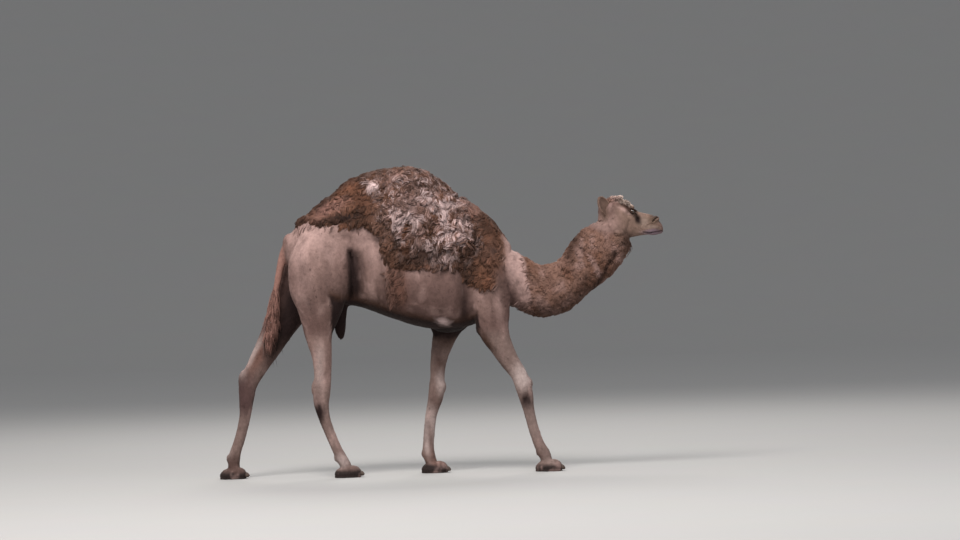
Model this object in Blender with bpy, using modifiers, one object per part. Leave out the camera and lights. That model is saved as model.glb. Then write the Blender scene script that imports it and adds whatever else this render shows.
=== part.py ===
"""A walking dromedary, part way through its moult: the body as solids at life size.

Metres, +Z up. The animal faces +X, its left side is +Y, and its soles stand on Z = 0.
The flesh is lofted and lumped together, swollen by the depth of the coat, made one skin, and
then parted by thin cuts into the pieces that a person would name.
"""

import math

import bmesh
import bpy
import numpy as np
from mathutils import Matrix, Vector, noise

# Driving sizes.
GRAIN = 0.009  # voxel of the joined flesh
BODY_TRIANGLES = 3780
HEAD_CARE = 0.05  # how strongly the head keeps its triangles
GAP = 0.0003  # between neighbouring pieces
RING_SIDES = 28
RING_POWER = 0.88  # under 1 squares a section a little
SHORT_COAT = 0.004
HIND_TRACK = 0.125  # from the middle of the body to a hind foot
FORE_TRACK = 0.115
EYE_RADIUS = 0.021
EYE_CENTRE = (1.360, 0.060, 1.738)
FOOT_LENGTH, FOOT_WIDTH = 0.182, 0.158
LEG_TOP = 0.945  # the forelegs come free of the chest under this level
HIND_LEG_TOP = 1.125
UPPER_LEG_INNER = 0.105  # a shoulder or thigh is parted from the trunk this far out
HUMP_FOOT = 1.82  # level at which the hump is parted from the back

COLOURS = {
    "short_coat": (0.46, 0.34, 0.27, 1),
    "winter_wool": (0.20, 0.11, 0.07, 1),
    "pad_skin": (0.09, 0.06, 0.05, 1),
    "eye": (0.02, 0.012, 0.01, 1),
    "nail": (0.12, 0.09, 0.07, 1),
}
ROUGHNESS = {"eye": 0.08, "nail": 0.4}

# x, top, bottom, half width, and how much wider the section is above its middle.
TRUNK = (
    (-0.955, 1.665, 1.400, 0.085, 0.00),  # buttock
    (-0.890, 1.745, 1.260, 0.165, 0.00),
    (-0.790, 1.765, 1.190, 0.215, 0.05),  # rump
    (-0.660, 1.785, 1.170, 0.230, 0.08),  # hips
    (-0.500, 1.790, 1.146, 0.212, 0.02),  # loin and flank
    (-0.320, 1.800, 1.074, 0.262, -0.08),  # last rib
    (-0.100, 1.810, 1.002, 0.292, -0.10),  # barrel
    (0.080, 1.805, 0.978, 0.275, -0.08),  # girth
    (0.240, 1.795, 1.000, 0.225, -0.02),  # withers
    (0.370, 1.740, 1.065, 0.180, 0.00),
    (0.480, 1.590, 1.125, 0.150, 0.00),  # breast
    (0.560, 1.465, 1.165, 0.120, 0.00),
)
HUMP = (
    (-0.800, 1.800, 1.500, 0.100, -0.30),
    (-0.660, 1.905, 1.500, 0.160, -0.38),
    (-0.540, 2.000, 1.500, 0.190, -0.42),
    (-0.400, 2.052, 1.500, 0.215, -0.46),
    (-0.210, 2.076, 1.500, 0.225, -0.48),  # crown
    (-0.060, 2.054, 1.500, 0.215, -0.46),
    (0.050, 1.978, 1.500, 0.190, -0.42),
    (0.150, 1.892, 1.500, 0.160, -0.36),
    (0.260, 1.825, 1.500, 0.120, -0.30),
)
HEAD = (
    (1.180, 1.806, 1.650, 0.058, 0.00),  # nape
    (1.218, 1.832, 1.602, 0.078, 0.00),  # poll
    (1.270, 1.830, 1.570, 0.086, 0.05),  # jaw angle
    (1.325, 1.808, 1.562, 0.086, 0.12),  # orbits
    (1.365, 1.772, 1.566, 0.074, 0.12),
    (1.400, 1.740, 1.572, 0.060, 0.05),  # stop
    (1.440, 1.727, 1.577, 0.051, 0.00),
    (1.480, 1.717, 1.578, 0.047, 0.00),  # muzzle
    (1.518, 1.701, 1.575, 0.046, 0.05),  # nostrils
    (1.543, 1.668, 1.583, 0.034, 0.05),  # lips
)
# x, y, z of the middle, half depth in the plane of travel, half width, widening to the front.
NECK = (
    (0.330, 0, 1.400, 0.200, 0.130, 0.0),
    (0.480, 0, 1.325, 0.170, 0.125, 0.0),
    (0.590, 0, 1.272, 0.151, 0.110, 0.0),
    (0.680, 0, 1.231, 0.147, 0.100, 0.0),
    (0.775, 0, 1.220, 0.152, 0.096, 0.0),
    (0.875, 0, 1.259, 0.140, 0.092, 0.0),
    (0.955, 0, 1.315, 0.128, 0.088, 0.0),
    (1.024, 0, 1.380, 0.142, 0.086, 0.0),
    (1.087, 0, 1.446, 0.153, 0.084, 0.0),
    (1.148, 0, 1.507, 0.151, 0.082, 0.0),
    (1.208, 0, 1.563, 0.129, 0.078, 0.0),
    (1.243, 0, 1.620, 0.110, 0.074, 0.0),
)
TAIL = (
    (-0.965, 0, 1.600, 0.036, 0.036, 0.0),
    (-1.005, 0, 1.545, 0.033, 0.032, 0.0),
    (-1.036, 0, 1.450, 0.027, 0.028, 0.0),
    (-1.062, 0, 1.340, 0.023, 0.024, 0.0),
    (-1.085, 0, 1.220, 0.022, 0.022, 0.0),
    (-1.104, 0, 1.120, 0.028, 0.026, 0.0),  # brush
    (-1.122, 0, 1.020, 0.027, 0.025, 0.0),
    (-1.138, 0, 0.935, 0.011, 0.011, 0.0),
)
SHEATH = (
    (-0.630, 0, 1.230, 0.055, 0.034, 0.0),
    (-0.642, 0, 1.140, 0.050, 0.034, 0.0),
    (-0.648, 0, 1.060, 0.044, 0.032, 0.0),
    (-0.646, 0, 0.990, 0.038, 0.028, 0.0),
    (-0.643, 0, 0.945, 0.024, 0.020, 0.0),
)
# Legs: x, offset from the track outwards, z, half depth, half width, widening to the front.
LEGS = {
    "fore_right": {
        "side": -1,
        "track": FORE_TRACK,
        "foot": 0.742,
        "path": (
            (0.240, 0.015, 1.640, 0.090, 0.045, 0.0),  # shoulder blade
            (0.300, 0.030, 1.440, 0.125, 0.066, 0.0),
            (0.362, 0.025, 1.240, 0.128, 0.080, 0.0),  # point of the shoulder
            (0.384, 0.012, 1.080, 0.118, 0.078, 0.0),
            (0.396, 0.004, 0.965, 0.106, 0.066, 0.0),  # elbow
            (0.440, 0.000, 0.860, 0.080, 0.055, 0.1),
            (0.498, 0.000, 0.750, 0.064, 0.047, 0.1),
            (0.556, 0.000, 0.660, 0.055, 0.045, 0.0),
            (0.584, 0.000, 0.580, 0.056, 0.052, 0.0),  # knee
            (0.600, 0.000, 0.510, 0.050, 0.047, 0.0),
            (0.616, 0.000, 0.420, 0.038, 0.036, 0.0),
            (0.642, 0.000, 0.300, 0.035, 0.033, 0.0),  # cannon
            (0.676, 0.000, 0.190, 0.036, 0.036, 0.0),
            (0.706, 0.000, 0.128, 0.041, 0.043, 0.0),  # fetlock
            (0.728, 0.000, 0.075, 0.038, 0.044, 0.0),
        ),
    },
    "fore_left": {
        "side": 1,
        "track": FORE_TRACK,
        "foot": -0.034,
        "path": (
            (0.230, 0.015, 1.640, 0.090, 0.045, 0.0),
            (0.270, 0.030, 1.440, 0.125, 0.066, 0.0),
            (0.275, 0.025, 1.250, 0.128, 0.080, 0.0),
            (0.165, 0.012, 1.110, 0.122, 0.078, 0.0),
            (0.085, 0.004, 0.995, 0.098, 0.066, 0.0),
            (0.040, 0.000, 0.870, 0.071, 0.055, 0.1),
            (0.013, 0.000, 0.760, 0.056, 0.047, 0.1),
            (0.002, 0.000, 0.660, 0.049, 0.045, 0.0),
            (-0.004, 0.000, 0.575, 0.055, 0.052, 0.0),
            (-0.018, 0.000, 0.500, 0.050, 0.047, 0.0),
            (-0.046, 0.000, 0.410, 0.040, 0.036, 0.0),
            (-0.064, 0.000, 0.290, 0.038, 0.034, 0.0),
            (-0.074, 0.000, 0.185, 0.038, 0.036, 0.0),
            (-0.074, 0.000, 0.128, 0.042, 0.043, 0.0),
            (-0.056, 0.000, 0.070, 0.038, 0.044, 0.0),
        ),
    },
    "hind_right": {
        "side": -1,
        "track": HIND_TRACK,
        "foot": -0.618,
        "path": (
            (-0.770, 0.010, 1.620, 0.130, 0.070, 0.0),  # hip
            (-0.785, 0.025, 1.470, 0.190, 0.100, 0.0),
            (-0.785, 0.025, 1.310, 0.196, 0.108, 0.1),  # thigh
            (-0.775, 0.018, 1.180, 0.170, 0.095, 0.1),
            (-0.783, 0.010, 1.075, 0.130, 0.078, 0.1),  # stifle
            (-0.790, 0.000, 0.965, 0.094, 0.062, 0.0),
            (-0.774, 0.000, 0.840, 0.070, 0.052, 0.0),
            (-0.770, 0.000, 0.700, 0.058, 0.044, 0.0),
            (-0.780, 0.000, 0.590, 0.059, 0.046, 0.0),  # hock
            (-0.785, 0.000, 0.500, 0.051, 0.043, 0.0),
            (-0.766, 0.000, 0.400, 0.038, 0.036, 0.0),
            (-0.724, 0.000, 0.280, 0.034, 0.033, 0.0),  # cannon
            (-0.686, 0.000, 0.185, 0.034, 0.036, 0.0),
            (-0.660, 0.000, 0.130, 0.038, 0.042, 0.0),  # fetlock
            (-0.630, 0.000, 0.075, 0.037, 0.043, 0.0),
        ),
    },
    "hind_left": {
        "side": 1,
        "track": HIND_TRACK,
        "foot": -1.412,
        "path": (
            (-0.790, 0.010, 1.620, 0.130, 0.070, 0.0),
            (-0.840, 0.025, 1.470, 0.185, 0.100, 0.0),
            (-0.905, 0.025, 1.320, 0.186, 0.106, 0.1),
            (-0.970, 0.018, 1.200, 0.158, 0.092, 0.1),
            (-1.025, 0.010, 1.100, 0.124, 0.076, 0.1),
            (-1.092, 0.000, 0.985, 0.102, 0.062, 0.0),
            (-1.160, 0.000, 0.870, 0.086, 0.052, 0.0),
            (-1.234, 0.000, 0.750, 0.070, 0.044, 0.0),
            (-1.290, 0.000, 0.650, 0.064, 0.046, 0.0),
            (-1.306, 0.000, 0.550, 0.052, 0.043, 0.0),
            (-1.320, 0.000, 0.430, 0.039, 0.036, 0.0),
            (-1.352, 0.000, 0.300, 0.036, 0.033, 0.0),
            (-1.388, 0.000, 0.195, 0.037, 0.036, 0.0),
            (-1.406, 0.000, 0.135, 0.042, 0.042, 0.0),
            (-1.406, 0.000, 0.070, 0.040, 0.043, 0.0),
        ),
    },
}
# Bone and muscle that stand out of the lofts: x, y, z, three radii, pitch in degrees.
LUMPS = (
    (-0.620, 0.186, 1.655, 0.095, 0.040, 0.055, 15),  # point of the hip
    (-0.940, 0.080, 1.510, 0.055, 0.045, 0.090, 0),  # point of the buttock
    (0.170, 0.120, 1.690, 0.100, 0.050, 0.120, -20),  # top of the shoulder blade
    (0.445, 0.115, 1.250, 0.060, 0.040, 0.080, 0),  # point of the shoulder
    (1.270, 0.064, 1.640, 0.060, 0.028, 0.062, 10),  # cheek
    (1.340, 0.055, 1.780, 0.044, 0.023, 0.016, -27),  # brow
    (1.360, 0.058, 1.700, 0.050, 0.018, 0.018, 10),  # cheekbone
    (1.516, 0.028, 1.682, 0.030, 0.020, 0.022, 15),  # nostril wing
    (1.525, 0.020, 1.640, 0.026, 0.024, 0.032, 0),  # upper lip
)
MIDDLE_LUMPS = (
    (1.505, 0, 1.592, 0.040, 0.032, 0.018, 6),  # lower lip
    (0.620, 0, 1.180, 0.110, 0.060, 0.060, -20),  # dewlap
)
UPPER_LEGS = {
    "shoulder_right": (
        (0.22, 0.90), (0.56, 0.90), (0.53, 1.30), (0.40, 1.62), (0.14, 1.62), (0.20, 1.25),
    ),
    "shoulder_left": (
        (0.00, 0.90), (0.20, 0.90), (0.42, 1.15), (0.46, 1.40), (0.38, 1.62), (0.12, 1.62),
    ),
    "thigh_right": ((-1.10, 1.10), (-0.60, 1.10), (-0.56, 1.30), (-0.62, 1.60), (-1.10, 1.60)),
    "thigh_left": ((-1.20, 1.10), (-0.80, 1.10), (-0.64, 1.30), (-0.66, 1.60), (-1.10, 1.60)),
}
CHEST_PAD = ((0.090, 0, 0.996), (0.112, 0.082, 0.046), -3)
EAR = (  # x, y, z, half depth, half width
    (1.192, 0.060, 1.730, 0.020, 0.016, 0.0),
    (1.182, 0.070, 1.755, 0.033, 0.016, 0.0),
    (1.172, 0.080, 1.782, 0.037, 0.013, 0.0),
    (1.164, 0.088, 1.808, 0.028, 0.010, 0.0),
    (1.158, 0.094, 1.830, 0.010, 0.006, 0.0),
)
# Where the winter wool still hangs: x, z, half length, half height, turn in degrees, depth.
WOOL = (
    (-0.635, 1.872, 0.335, 0.150, 0, 0.050),  # cape on the rump
    (-0.240, 1.900, 0.400, 0.260, 0, 0.036),  # hump
    (0.000, 1.600, 0.350, 0.205, -4, 0.034),  # saddle on the ribs
    (-0.250, 1.330, 0.080, 0.170, 0, 0.014),  # a last strip on the flank
    (0.370, 1.520, 0.150, 0.260, -12, 0.026),  # shoulder
    (0.060, 1.180, 0.290, 0.230, 0, 0.010),  # thin wool of the brisket
    (0.780, 1.240, 0.260, 0.300, 10, 0.034),  # lower neck
    (1.110, 1.420, 0.250, 0.260, 50, 0.034),  # upper neck
    (1.250, 1.860, 0.080, 0.050, 0, 0.016),  # topknot
)
EDGE = 0.10  # softness of a wool patch's edge


def catmull(rows, steps):
    """A smooth curve of station rows, with this many steps between two stations."""
    rows = np.array(rows, float)
    ends = np.vstack([2 * rows[0] - rows[1], rows, 2 * rows[-1] - rows[-2]])
    found = []
    for a, b, c, d in zip(ends, ends[1:], ends[2:], ends[3:]):
        for t in np.arange(steps) / steps:
            bend = (2 * a - 5 * b + 4 * c - d) * t * t + (3 * b - 3 * c + d - a) * t**3
            found.append(0.5 * (2 * b + (c - a) * t + bend))
    return np.array([*found, rows[-1]])


def upright(rows):
    """Stations given by top and bottom, as rows of middle, half depth and half width."""
    return [(x, 0, (t + b) / 2, (t - b) / 2, w, k) for x, t, b, w, k in rows]


def loft(rows, steps=4, vertical=False, cap=0.9, sides=RING_SIDES):
    """A closed skin through oval sections, whose ends are rounded off by cap times their size."""
    rows = catmull(rows, steps)
    middles = rows[:, :3]
    ways = np.gradient(middles, axis=0)
    ways /= np.linalg.norm(ways, axis=1)[:, None]
    angles = np.arange(sides) * math.tau / sides
    high = np.sign(np.sin(angles)) * np.abs(np.sin(angles)) ** RING_POWER
    across = np.sign(np.cos(angles)) * np.abs(np.cos(angles)) ** RING_POWER

    def ring(middle, way, deep, wide, taper):
        side = Vector((0, 1, 0))
        up = Vector((0, 0, 1)) if vertical else Vector(way).cross(side).normalized()
        spread = across * wide * (1 + taper * high)
        return [middle + up * (deep * h) + side * s for h, s in zip(high, spread)]

    rings = []
    for row, way in zip(rows, ways):
        rings.append(ring(Vector(row[:3]), way, *row[3:]))
    rounding = [math.radians(a) for a in (30, 58, 80)]
    for at, sign in ((0, -1), (-1, 1)):
        row, way = rows[at], Vector(ways[at])
        for angle in rounding:
            reach = sign * cap * min(row[3], row[4]) * math.sin(angle)
            shrink = math.cos(angle)
            made = ring(Vector(row[:3]) + way * reach, way, row[3] * shrink, row[4] * shrink, row[5])
            rings.insert(0, made) if sign < 0 else rings.append(made)
    mesh = bmesh.new()
    loops = [[mesh.verts.new(p) for p in points] for points in rings]
    for one, two in zip(loops, loops[1:]):
        for k in range(sides):
            n = (k + 1) % sides
            mesh.faces.new((one[k], one[n], two[n], two[k]))
    mesh.faces.new(loops[0][::-1])
    mesh.faces.new(loops[-1])
    bmesh.ops.recalc_face_normals(mesh, faces=mesh.faces)
    return mesh


def ball(centre, radii, pitch=0.0, rings=12):
    """An ellipsoid, pitched nose up about the Y axis."""
    mesh = bmesh.new()
    turn = Matrix.Rotation(math.radians(-pitch), 4, "Y")
    place = Matrix.Translation(centre) @ turn @ Matrix.Diagonal((*radii, 1))
    bmesh.ops.create_uvsphere(mesh, u_segments=2 * rings, v_segments=rings, radius=1, matrix=place)
    return mesh


def as_object(name, mesh):
    data = bpy.data.meshes.new(name)
    mesh.to_mesh(data)
    mesh.free()
    made = bpy.data.objects.new(name, data)
    bpy.context.scene.collection.objects.link(made)
    return made


def applied(thing, kind, **settings):
    """Puts one modifier on an object's mesh."""
    modifier = thing.modifiers.new(kind.title(), kind)
    for key, value in settings.items():
        setattr(modifier, key, value)
    graph = bpy.context.evaluated_depsgraph_get()
    done = bpy.data.meshes.new_from_object(thing.evaluated_get(graph))
    thing.modifiers.clear()
    thing.data = done
    return thing


def joined(name, meshes):
    whole = bmesh.new()
    for mesh in meshes:
        data = bpy.data.meshes.new("piece")
        mesh.to_mesh(data)
        mesh.free()
        whole.from_mesh(data)
        bpy.data.meshes.remove(data)
    return as_object(name, whole)


def foot_shapes(x, y):
    """A broad pad under two toes."""
    long, wide = FOOT_LENGTH / 2, FOOT_WIDTH / 2
    shapes = [ball((x - 0.012, y, 0.016), (long * 0.92, wide, 0.060))]
    for spread in (-1, 1):
        toe = (x + 0.032, y + spread * wide * 0.46, 0.026)
        shapes.append(ball(toe, (long * 0.67, wide * 0.50, 0.054), -12))
    return shapes


def leg_shapes(leg):
    side, track = leg["side"], leg["track"]
    rows = [(x, side * (track + out), z, d, w, k) for x, out, z, d, w, k in leg["path"]]
    shapes = [loft(rows)]
    shapes += foot_shapes(leg["foot"], side * track)
    return shapes


def joint_lumps():
    """Bone and horny pads at the knees, hocks, elbows and fetlocks."""
    shapes = []
    for name, leg in LEGS.items():
        y = leg["side"] * leg["track"]
        rows = leg["path"]
        fetlock = rows[13]
        shapes.append(ball((fetlock[0] - 0.022, y, fetlock[2] + 0.005), (0.030, 0.030, 0.034)))
        middle, elbow = rows[8], rows[4]
        if name.startswith("fore"):
            shapes.append(ball((middle[0] + 0.016, y, middle[2]), (0.046, 0.046, 0.066), -20))
            shapes.append(ball((elbow[0] - 0.075, y, elbow[2] - 0.010), (0.055, 0.036, 0.034), -35))
        else:
            shapes.append(ball((middle[0] - 0.038, y, middle[2] + 0.030), (0.031, 0.024, 0.066), -12))
            stifle = rows[4]
            shapes.append(ball((stifle[0] + 0.090, y * 1.05, stifle[2] + 0.03), (0.05, 0.05, 0.08)))
    return shapes


def flesh_shapes():
    shapes = [
        loft(upright(TRUNK), vertical=True),
        loft(upright(HUMP), vertical=True),
        loft(upright(HEAD), vertical=True),
        loft(NECK),
    ]
    for leg in LEGS.values():
        shapes += leg_shapes(leg)
    for x, y, z, a, b, c, pitch in LUMPS:
        shapes += [ball((x, side * y, z), (a, b, c), pitch) for side in (-1, 1)]
    shapes += [ball(row[:3], row[3:6], row[6]) for row in MIDDLE_LUMPS]
    return shapes + joint_lumps()


def wool_depth(x, y, z):
    """How far the coat stands off the skin at a point of it."""
    depth = SHORT_COAT
    for px, pz, long, high, turn, most in WOOL:
        c, s = math.cos(math.radians(turn)), math.sin(math.radians(turn))
        u, v = ((x - px) * c + (z - pz) * s) / long, ((z - pz) * c - (x - px) * s) / high
        reach = (u**4 + v**4) ** 0.25
        share = min(1.0, max(0.0, (1 + EDGE - reach) / (2 * EDGE)))
        depth = max(depth, most * share * share * (3 - 2 * share))
    clump = noise.noise(Vector((x, y, z)) * 7.5)
    return depth * (1 + 0.28 * clump) if depth > 2 * SHORT_COAT else depth


def body_mesh():
    """The whole animal but its eyes, ears and nails, coat and all, as one closed skin."""
    body = joined("body", flesh_shapes())
    applied(body, "REMESH", mode="VOXEL", voxel_size=GRAIN)
    applied(body, "SMOOTH", factor=0.5, iterations=4)
    broad = body.vertex_groups.new(name="broad")
    high = [v.index for v in body.data.vertices if v.co.z > 0.90 and v.co.x < 1.10]
    broad.add(high, 1.0, "REPLACE")
    applied(body, "SMOOTH", factor=0.5, iterations=24, vertex_group="broad")
    body.vertex_groups.clear()
    mesh = body.data
    ways = [vertex.normal.copy() for vertex in mesh.vertices]
    for vertex, way in zip(mesh.vertices, ways):
        vertex.co += way * wool_depth(*vertex.co)
    thin_out(body)
    soled = half(body, (0, 0, -GAP / 2), (0, 0, 1))
    soled.to_mesh(body.data)
    soled.free()
    return body


def thin_out(body):
    """Brings the skin down to its triangles, and keeps the head finer than the rest."""
    plain = body.vertex_groups.new(name="plain")
    for vertex in body.data.vertices:
        x, _, z = vertex.co
        plain.add([vertex.index], 0.5 if x > 1.12 and z > 1.50 else 1.0, "REPLACE")
    body.data.calc_loop_triangles()
    ratio = BODY_TRIANGLES / len(body.data.loop_triangles)
    applied(body, "DECIMATE", ratio=ratio, vertex_group="plain", vertex_group_factor=HEAD_CARE)
    body.vertex_groups.clear()


def tidied(mesh):
    """Triangles with no slivers left from a cut."""
    bmesh.ops.remove_doubles(mesh, verts=mesh.verts, dist=0.000002)
    bmesh.ops.triangulate(mesh, faces=mesh.faces)
    return mesh


def half(thing, point, normal):
    """The part of a solid on the side the normal points to, closed flat and short of the cut."""
    normal = Vector(normal).normalized()
    mesh = bmesh.new()
    mesh.from_mesh(thing.data)
    bmesh.ops.bisect_plane(
        mesh, geom=[*mesh.verts, *mesh.edges, *mesh.faces], dist=0.00001,
        plane_co=Vector(point) + normal * GAP / 2, plane_no=normal, clear_inner=True,
    )
    bmesh.ops.holes_fill(mesh, edges=[e for e in mesh.edges if e.is_boundary])
    return tidied(mesh)


def parted(thing, point, normal, name):
    """Cuts a solid in two by a plane: the far side becomes a new piece, the near side stays."""
    far, near = half(thing, point, normal), half(thing, point, -Vector(normal))
    piece = as_object(name, far)
    near.to_mesh(thing.data)
    near.free()
    return piece


def islands(thing):
    """The separate closed skins of a mesh, each as its own mesh."""
    mesh = bmesh.new()
    mesh.from_mesh(thing.data)
    left, found = set(mesh.verts), []
    while left:
        group = {left.pop()}
        edge = list(group)
        while edge:
            vert = edge.pop()
            fresh = {e.other_vert(vert) for e in vert.link_edges} - group
            group |= fresh
            edge += fresh
        left -= group
        found.append({v.index for v in group})
    mesh.free()
    made = []
    for keep in sorted(found, key=min):
        one = bmesh.new()
        one.from_mesh(thing.data)
        others = [v for v in one.verts if v.index not in keep]
        bmesh.ops.delete(one, geom=others, context="VERTS")
        made.append(one)
    return made


def prism(name, outline, near, far):
    """A cutter: a flat outline in XZ, drawn out along Y from near to far."""
    mesh = bmesh.new()
    ends = [[mesh.verts.new((x, y, z)) for x, z in outline] for y in (near, far)]
    mesh.faces.new(ends[0])
    mesh.faces.new(ends[1][::-1])
    for k in range(len(outline)):
        n = (k + 1) % len(outline)
        mesh.faces.new((ends[0][k], ends[1][k], ends[1][n], ends[0][n]))
    bmesh.ops.recalc_face_normals(mesh, faces=mesh.faces)
    return as_cutter(name, mesh)


def as_cutter(name, mesh):
    made = as_object(name, mesh)
    bpy.context.scene.collection.objects.unlink(made)
    CUTTERS.objects.link(made)
    made.hide_render = True
    made.display_type = "WIRE"
    return made


def swollen(name, thing):
    """A cutter that is a solid grown by the gap that neighbours keep."""
    mesh = bmesh.new()
    mesh.from_mesh(thing.data)
    mesh.normal_update()
    ways = [v.normal.copy() for v in mesh.verts]
    for vert, way in zip(mesh.verts, ways):
        vert.co += way * GAP * 2  # corners give up about half of it
    return as_cutter(name, mesh)


def boolean(thing, cutter, operation):
    applied(thing, "BOOLEAN", object=cutter, operation=operation, solver="EXACT")
    mesh = bmesh.new()
    mesh.from_mesh(thing.data)
    tidied(mesh).to_mesh(thing.data)
    mesh.free()
    return thing


def carved(thing, name, outline, near, far):
    """Takes the part of a solid inside an outline out as a piece of its own."""
    cutter = prism(name + "_cutter", outline, near, far)
    piece = bpy.data.objects.new(name, thing.data.copy())
    bpy.context.scene.collection.objects.link(piece)
    boolean(piece, cutter, "INTERSECT")
    return piece, boolean(thing, swollen(name + "_gap", cutter), "DIFFERENCE")


def hind_and_fore(body):
    """The body parted into its lengths: a dictionary of objects by name."""
    pieces = {}
    pieces["head"] = parted(body, (1.250, 0, 1.625), (0.62, 0, 0.784), "head")
    pieces["hump"] = parted(body, (0, 0, HUMP_FOOT), (0, 0, 1), "hump")
    hind = parted(body, (-0.530, 0, 1.500), (-1, 0, -0.06), "hindquarters")
    hind_legs = parted(hind, (0, 0, HIND_LEG_TOP), (0, 0, -1), "hind_legs")
    fore_legs = parted(body, (0, 0, LEG_TOP), (0, 0, -1), "fore_legs")
    pieces["neck_upper"] = parted(body, (0.915, 0, 1.290), (0.94, 0, 0.334), "neck_upper")
    pieces["neck_lower"] = parted(body, (0.565, 0, 1.310), (0.985, 0, 0.17), "neck_lower")
    fore = parted(body, (-0.030, 0, 0), (1, 0, 0), "forequarters")
    for name, outline in UPPER_LEGS.items():
        whole = hind if name.startswith("thigh") else fore
        side = -1 if name.endswith("right") else 1
        pieces[name], _ = carved(whole, name, outline, side * UPPER_LEG_INNER, side * 0.6)
    pieces["forequarters"] = fore
    pieces["hindquarters"] = hind
    pieces["barrel"] = body
    for legs in (hind_legs, fore_legs):
        for leg in islands(legs):
            pieces.update(leg_pieces(legs.name[:4], leg))
        bpy.data.objects.remove(legs)
    return pieces


def leg_pieces(pair, mesh):
    """One leg cut under its knee or hock, and above its foot."""
    mesh.verts.ensure_lookup_table()
    hand = "right" if mesh.verts[0].co.y < 0 else "left"
    rows = LEGS[f"{pair}_{hand}"]["path"]
    upper = {"fore": "forearm", "hind": "gaskin"}[pair] + "_" + hand
    leg = as_object(upper, mesh)
    found = {upper: leg}
    cannon, foot = f"{pair}_cannon_{hand}", f"{pair}_foot_{hand}"
    for name, thing, at in ((cannon, leg, 9), (foot, None, 12)):
        one, two = Vector(rows[at][:3]), Vector(rows[at + 1][:3])
        way = (two - one) * Vector((1, 0, 1))
        found[name] = parted(thing or found[cannon], (one + two) / 2, way, name)
    return found


def fitted(name, mesh, neighbour):
    """A solid that gives way to the neighbour it stands on."""
    piece = as_object(name, mesh)
    return boolean(piece, swollen(name + "_fit", neighbour), "DIFFERENCE")


def tail_pieces(hind):
    rows = [(x, y, z, d, w, k) for x, y, z, d, w, k in TAIL]
    tail = fitted("tail", loft(rows, steps=2, sides=10), hind)
    return {"tail": tail, "tail_brush": parted(tail, (0, 0, 1.165), (0, 0, -1), "tail_brush")}


def small_pieces(pieces):
    """Ears, eyes, nails, chest pad and sheath, each fitted to the solid it grows on."""
    found = tail_pieces(pieces["hindquarters"])
    for hand, side in (("right", -1), ("left", 1)):
        x, y, z = EYE_CENTRE
        centre = Vector((x, side * y, z))
        socket = as_cutter(f"socket_{hand}", ball(centre, [EYE_RADIUS + GAP] * 3, rings=6))
        boolean(pieces["head"], socket, "DIFFERENCE")
        found[f"eye_{hand}"] = as_object(f"eye_{hand}", ball(centre, [EYE_RADIUS] * 3, rings=6))
    for hand, side in (("right", -1), ("left", 1)):
        rows = [(x, side * y, z, d, w, k) for x, y, z, d, w, k in EAR]
        ear = loft(rows, steps=2, sides=8)
        found[f"ear_{hand}"] = fitted(f"ear_{hand}", ear, pieces["head"])
    for name, leg in LEGS.items():
        pair, hand = name.split("_")
        foot = pieces[f"{pair}_foot_{hand}"]
        y = leg["side"] * leg["track"]
        for place, spread in (("inner", -1), ("outer", 1)):
            at = (leg["foot"] + 0.088, y + leg["side"] * spread * FOOT_WIDTH * 0.23, 0.025)
            nail = ball(at, (0.021, 0.015, 0.014), -25, rings=4)
            found[f"{pair}_nail_{hand}_{place}"] = fitted(f"{pair}_nail_{hand}_{place}", nail, foot)
    middle, radii, pitch = CHEST_PAD
    bed = as_cutter("pad_bed", ball(middle, [r + 2 * GAP for r in radii], pitch, rings=8))
    boolean(pieces["forequarters"], bed, "DIFFERENCE")
    found["chest_pad"] = as_object("chest_pad", ball(middle, radii, pitch, rings=8))
    sheath = loft(SHEATH, steps=2, sides=8)
    found["sheath"] = fitted("sheath", sheath, pieces["hindquarters"])
    return found


def kind_of(name):
    if name.startswith("eye"):
        return "eye"
    if "nail" in name:
        return "nail"
    if name in ("chest_pad", "sheath"):
        return "pad_skin"
    if name in ("hump", "neck_upper", "neck_lower", "tail_brush", "barrel"):
        return "winter_wool"
    return "short_coat"


def material_for(name):
    kind = kind_of(name)
    made = bpy.data.materials.new(f"{name}_{kind}")
    made.use_nodes = True
    shader = made.node_tree.nodes["Principled BSDF"]
    shader.inputs["Base Color"].default_value = COLOURS[kind]
    shader.inputs["Roughness"].default_value = ROUGHNESS.get(kind, 0.85)
    made.diffuse_color = COLOURS[kind]
    return made


def placed(pieces):
    """Moves every piece so that the footprint's middle is the origin, and links it to PARTS."""
    points = np.array([v.co for piece in pieces.values() for v in piece.data.vertices])
    middle = (points.min(axis=0) + points.max(axis=0)) / 2
    shift = Matrix.Translation((-middle[0], -middle[1], 0))
    for name, piece in sorted(pieces.items()):
        piece.data.transform(shift)
        piece.name = name
        piece.data.name = name
        piece.data.materials.clear()
        piece.data.materials.append(material_for(name))
        piece.data.shade_smooth()
        piece.data.set_sharp_from_angle(angle=math.radians(40))
        bpy.context.scene.collection.objects.unlink(piece)
        PARTS.objects.link(piece)


for old in list(bpy.data.objects):
    bpy.data.objects.remove(old)
PARTS = bpy.data.collections.new("dromedary")
CUTTERS = bpy.data.collections.new("cutters")
for group in (PARTS, CUTTERS):
    bpy.context.scene.collection.children.link(group)
CUTTERS.hide_render = True

solids = hind_and_fore(body_mesh())
solids.update(small_pieces(solids))
placed(solids)
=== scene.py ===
import itertools
import math

import bmesh
import bpy
import numpy as np
from mathutils import Matrix, Vector, kdtree
from mathutils.bvhtree import BVHTree


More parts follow.
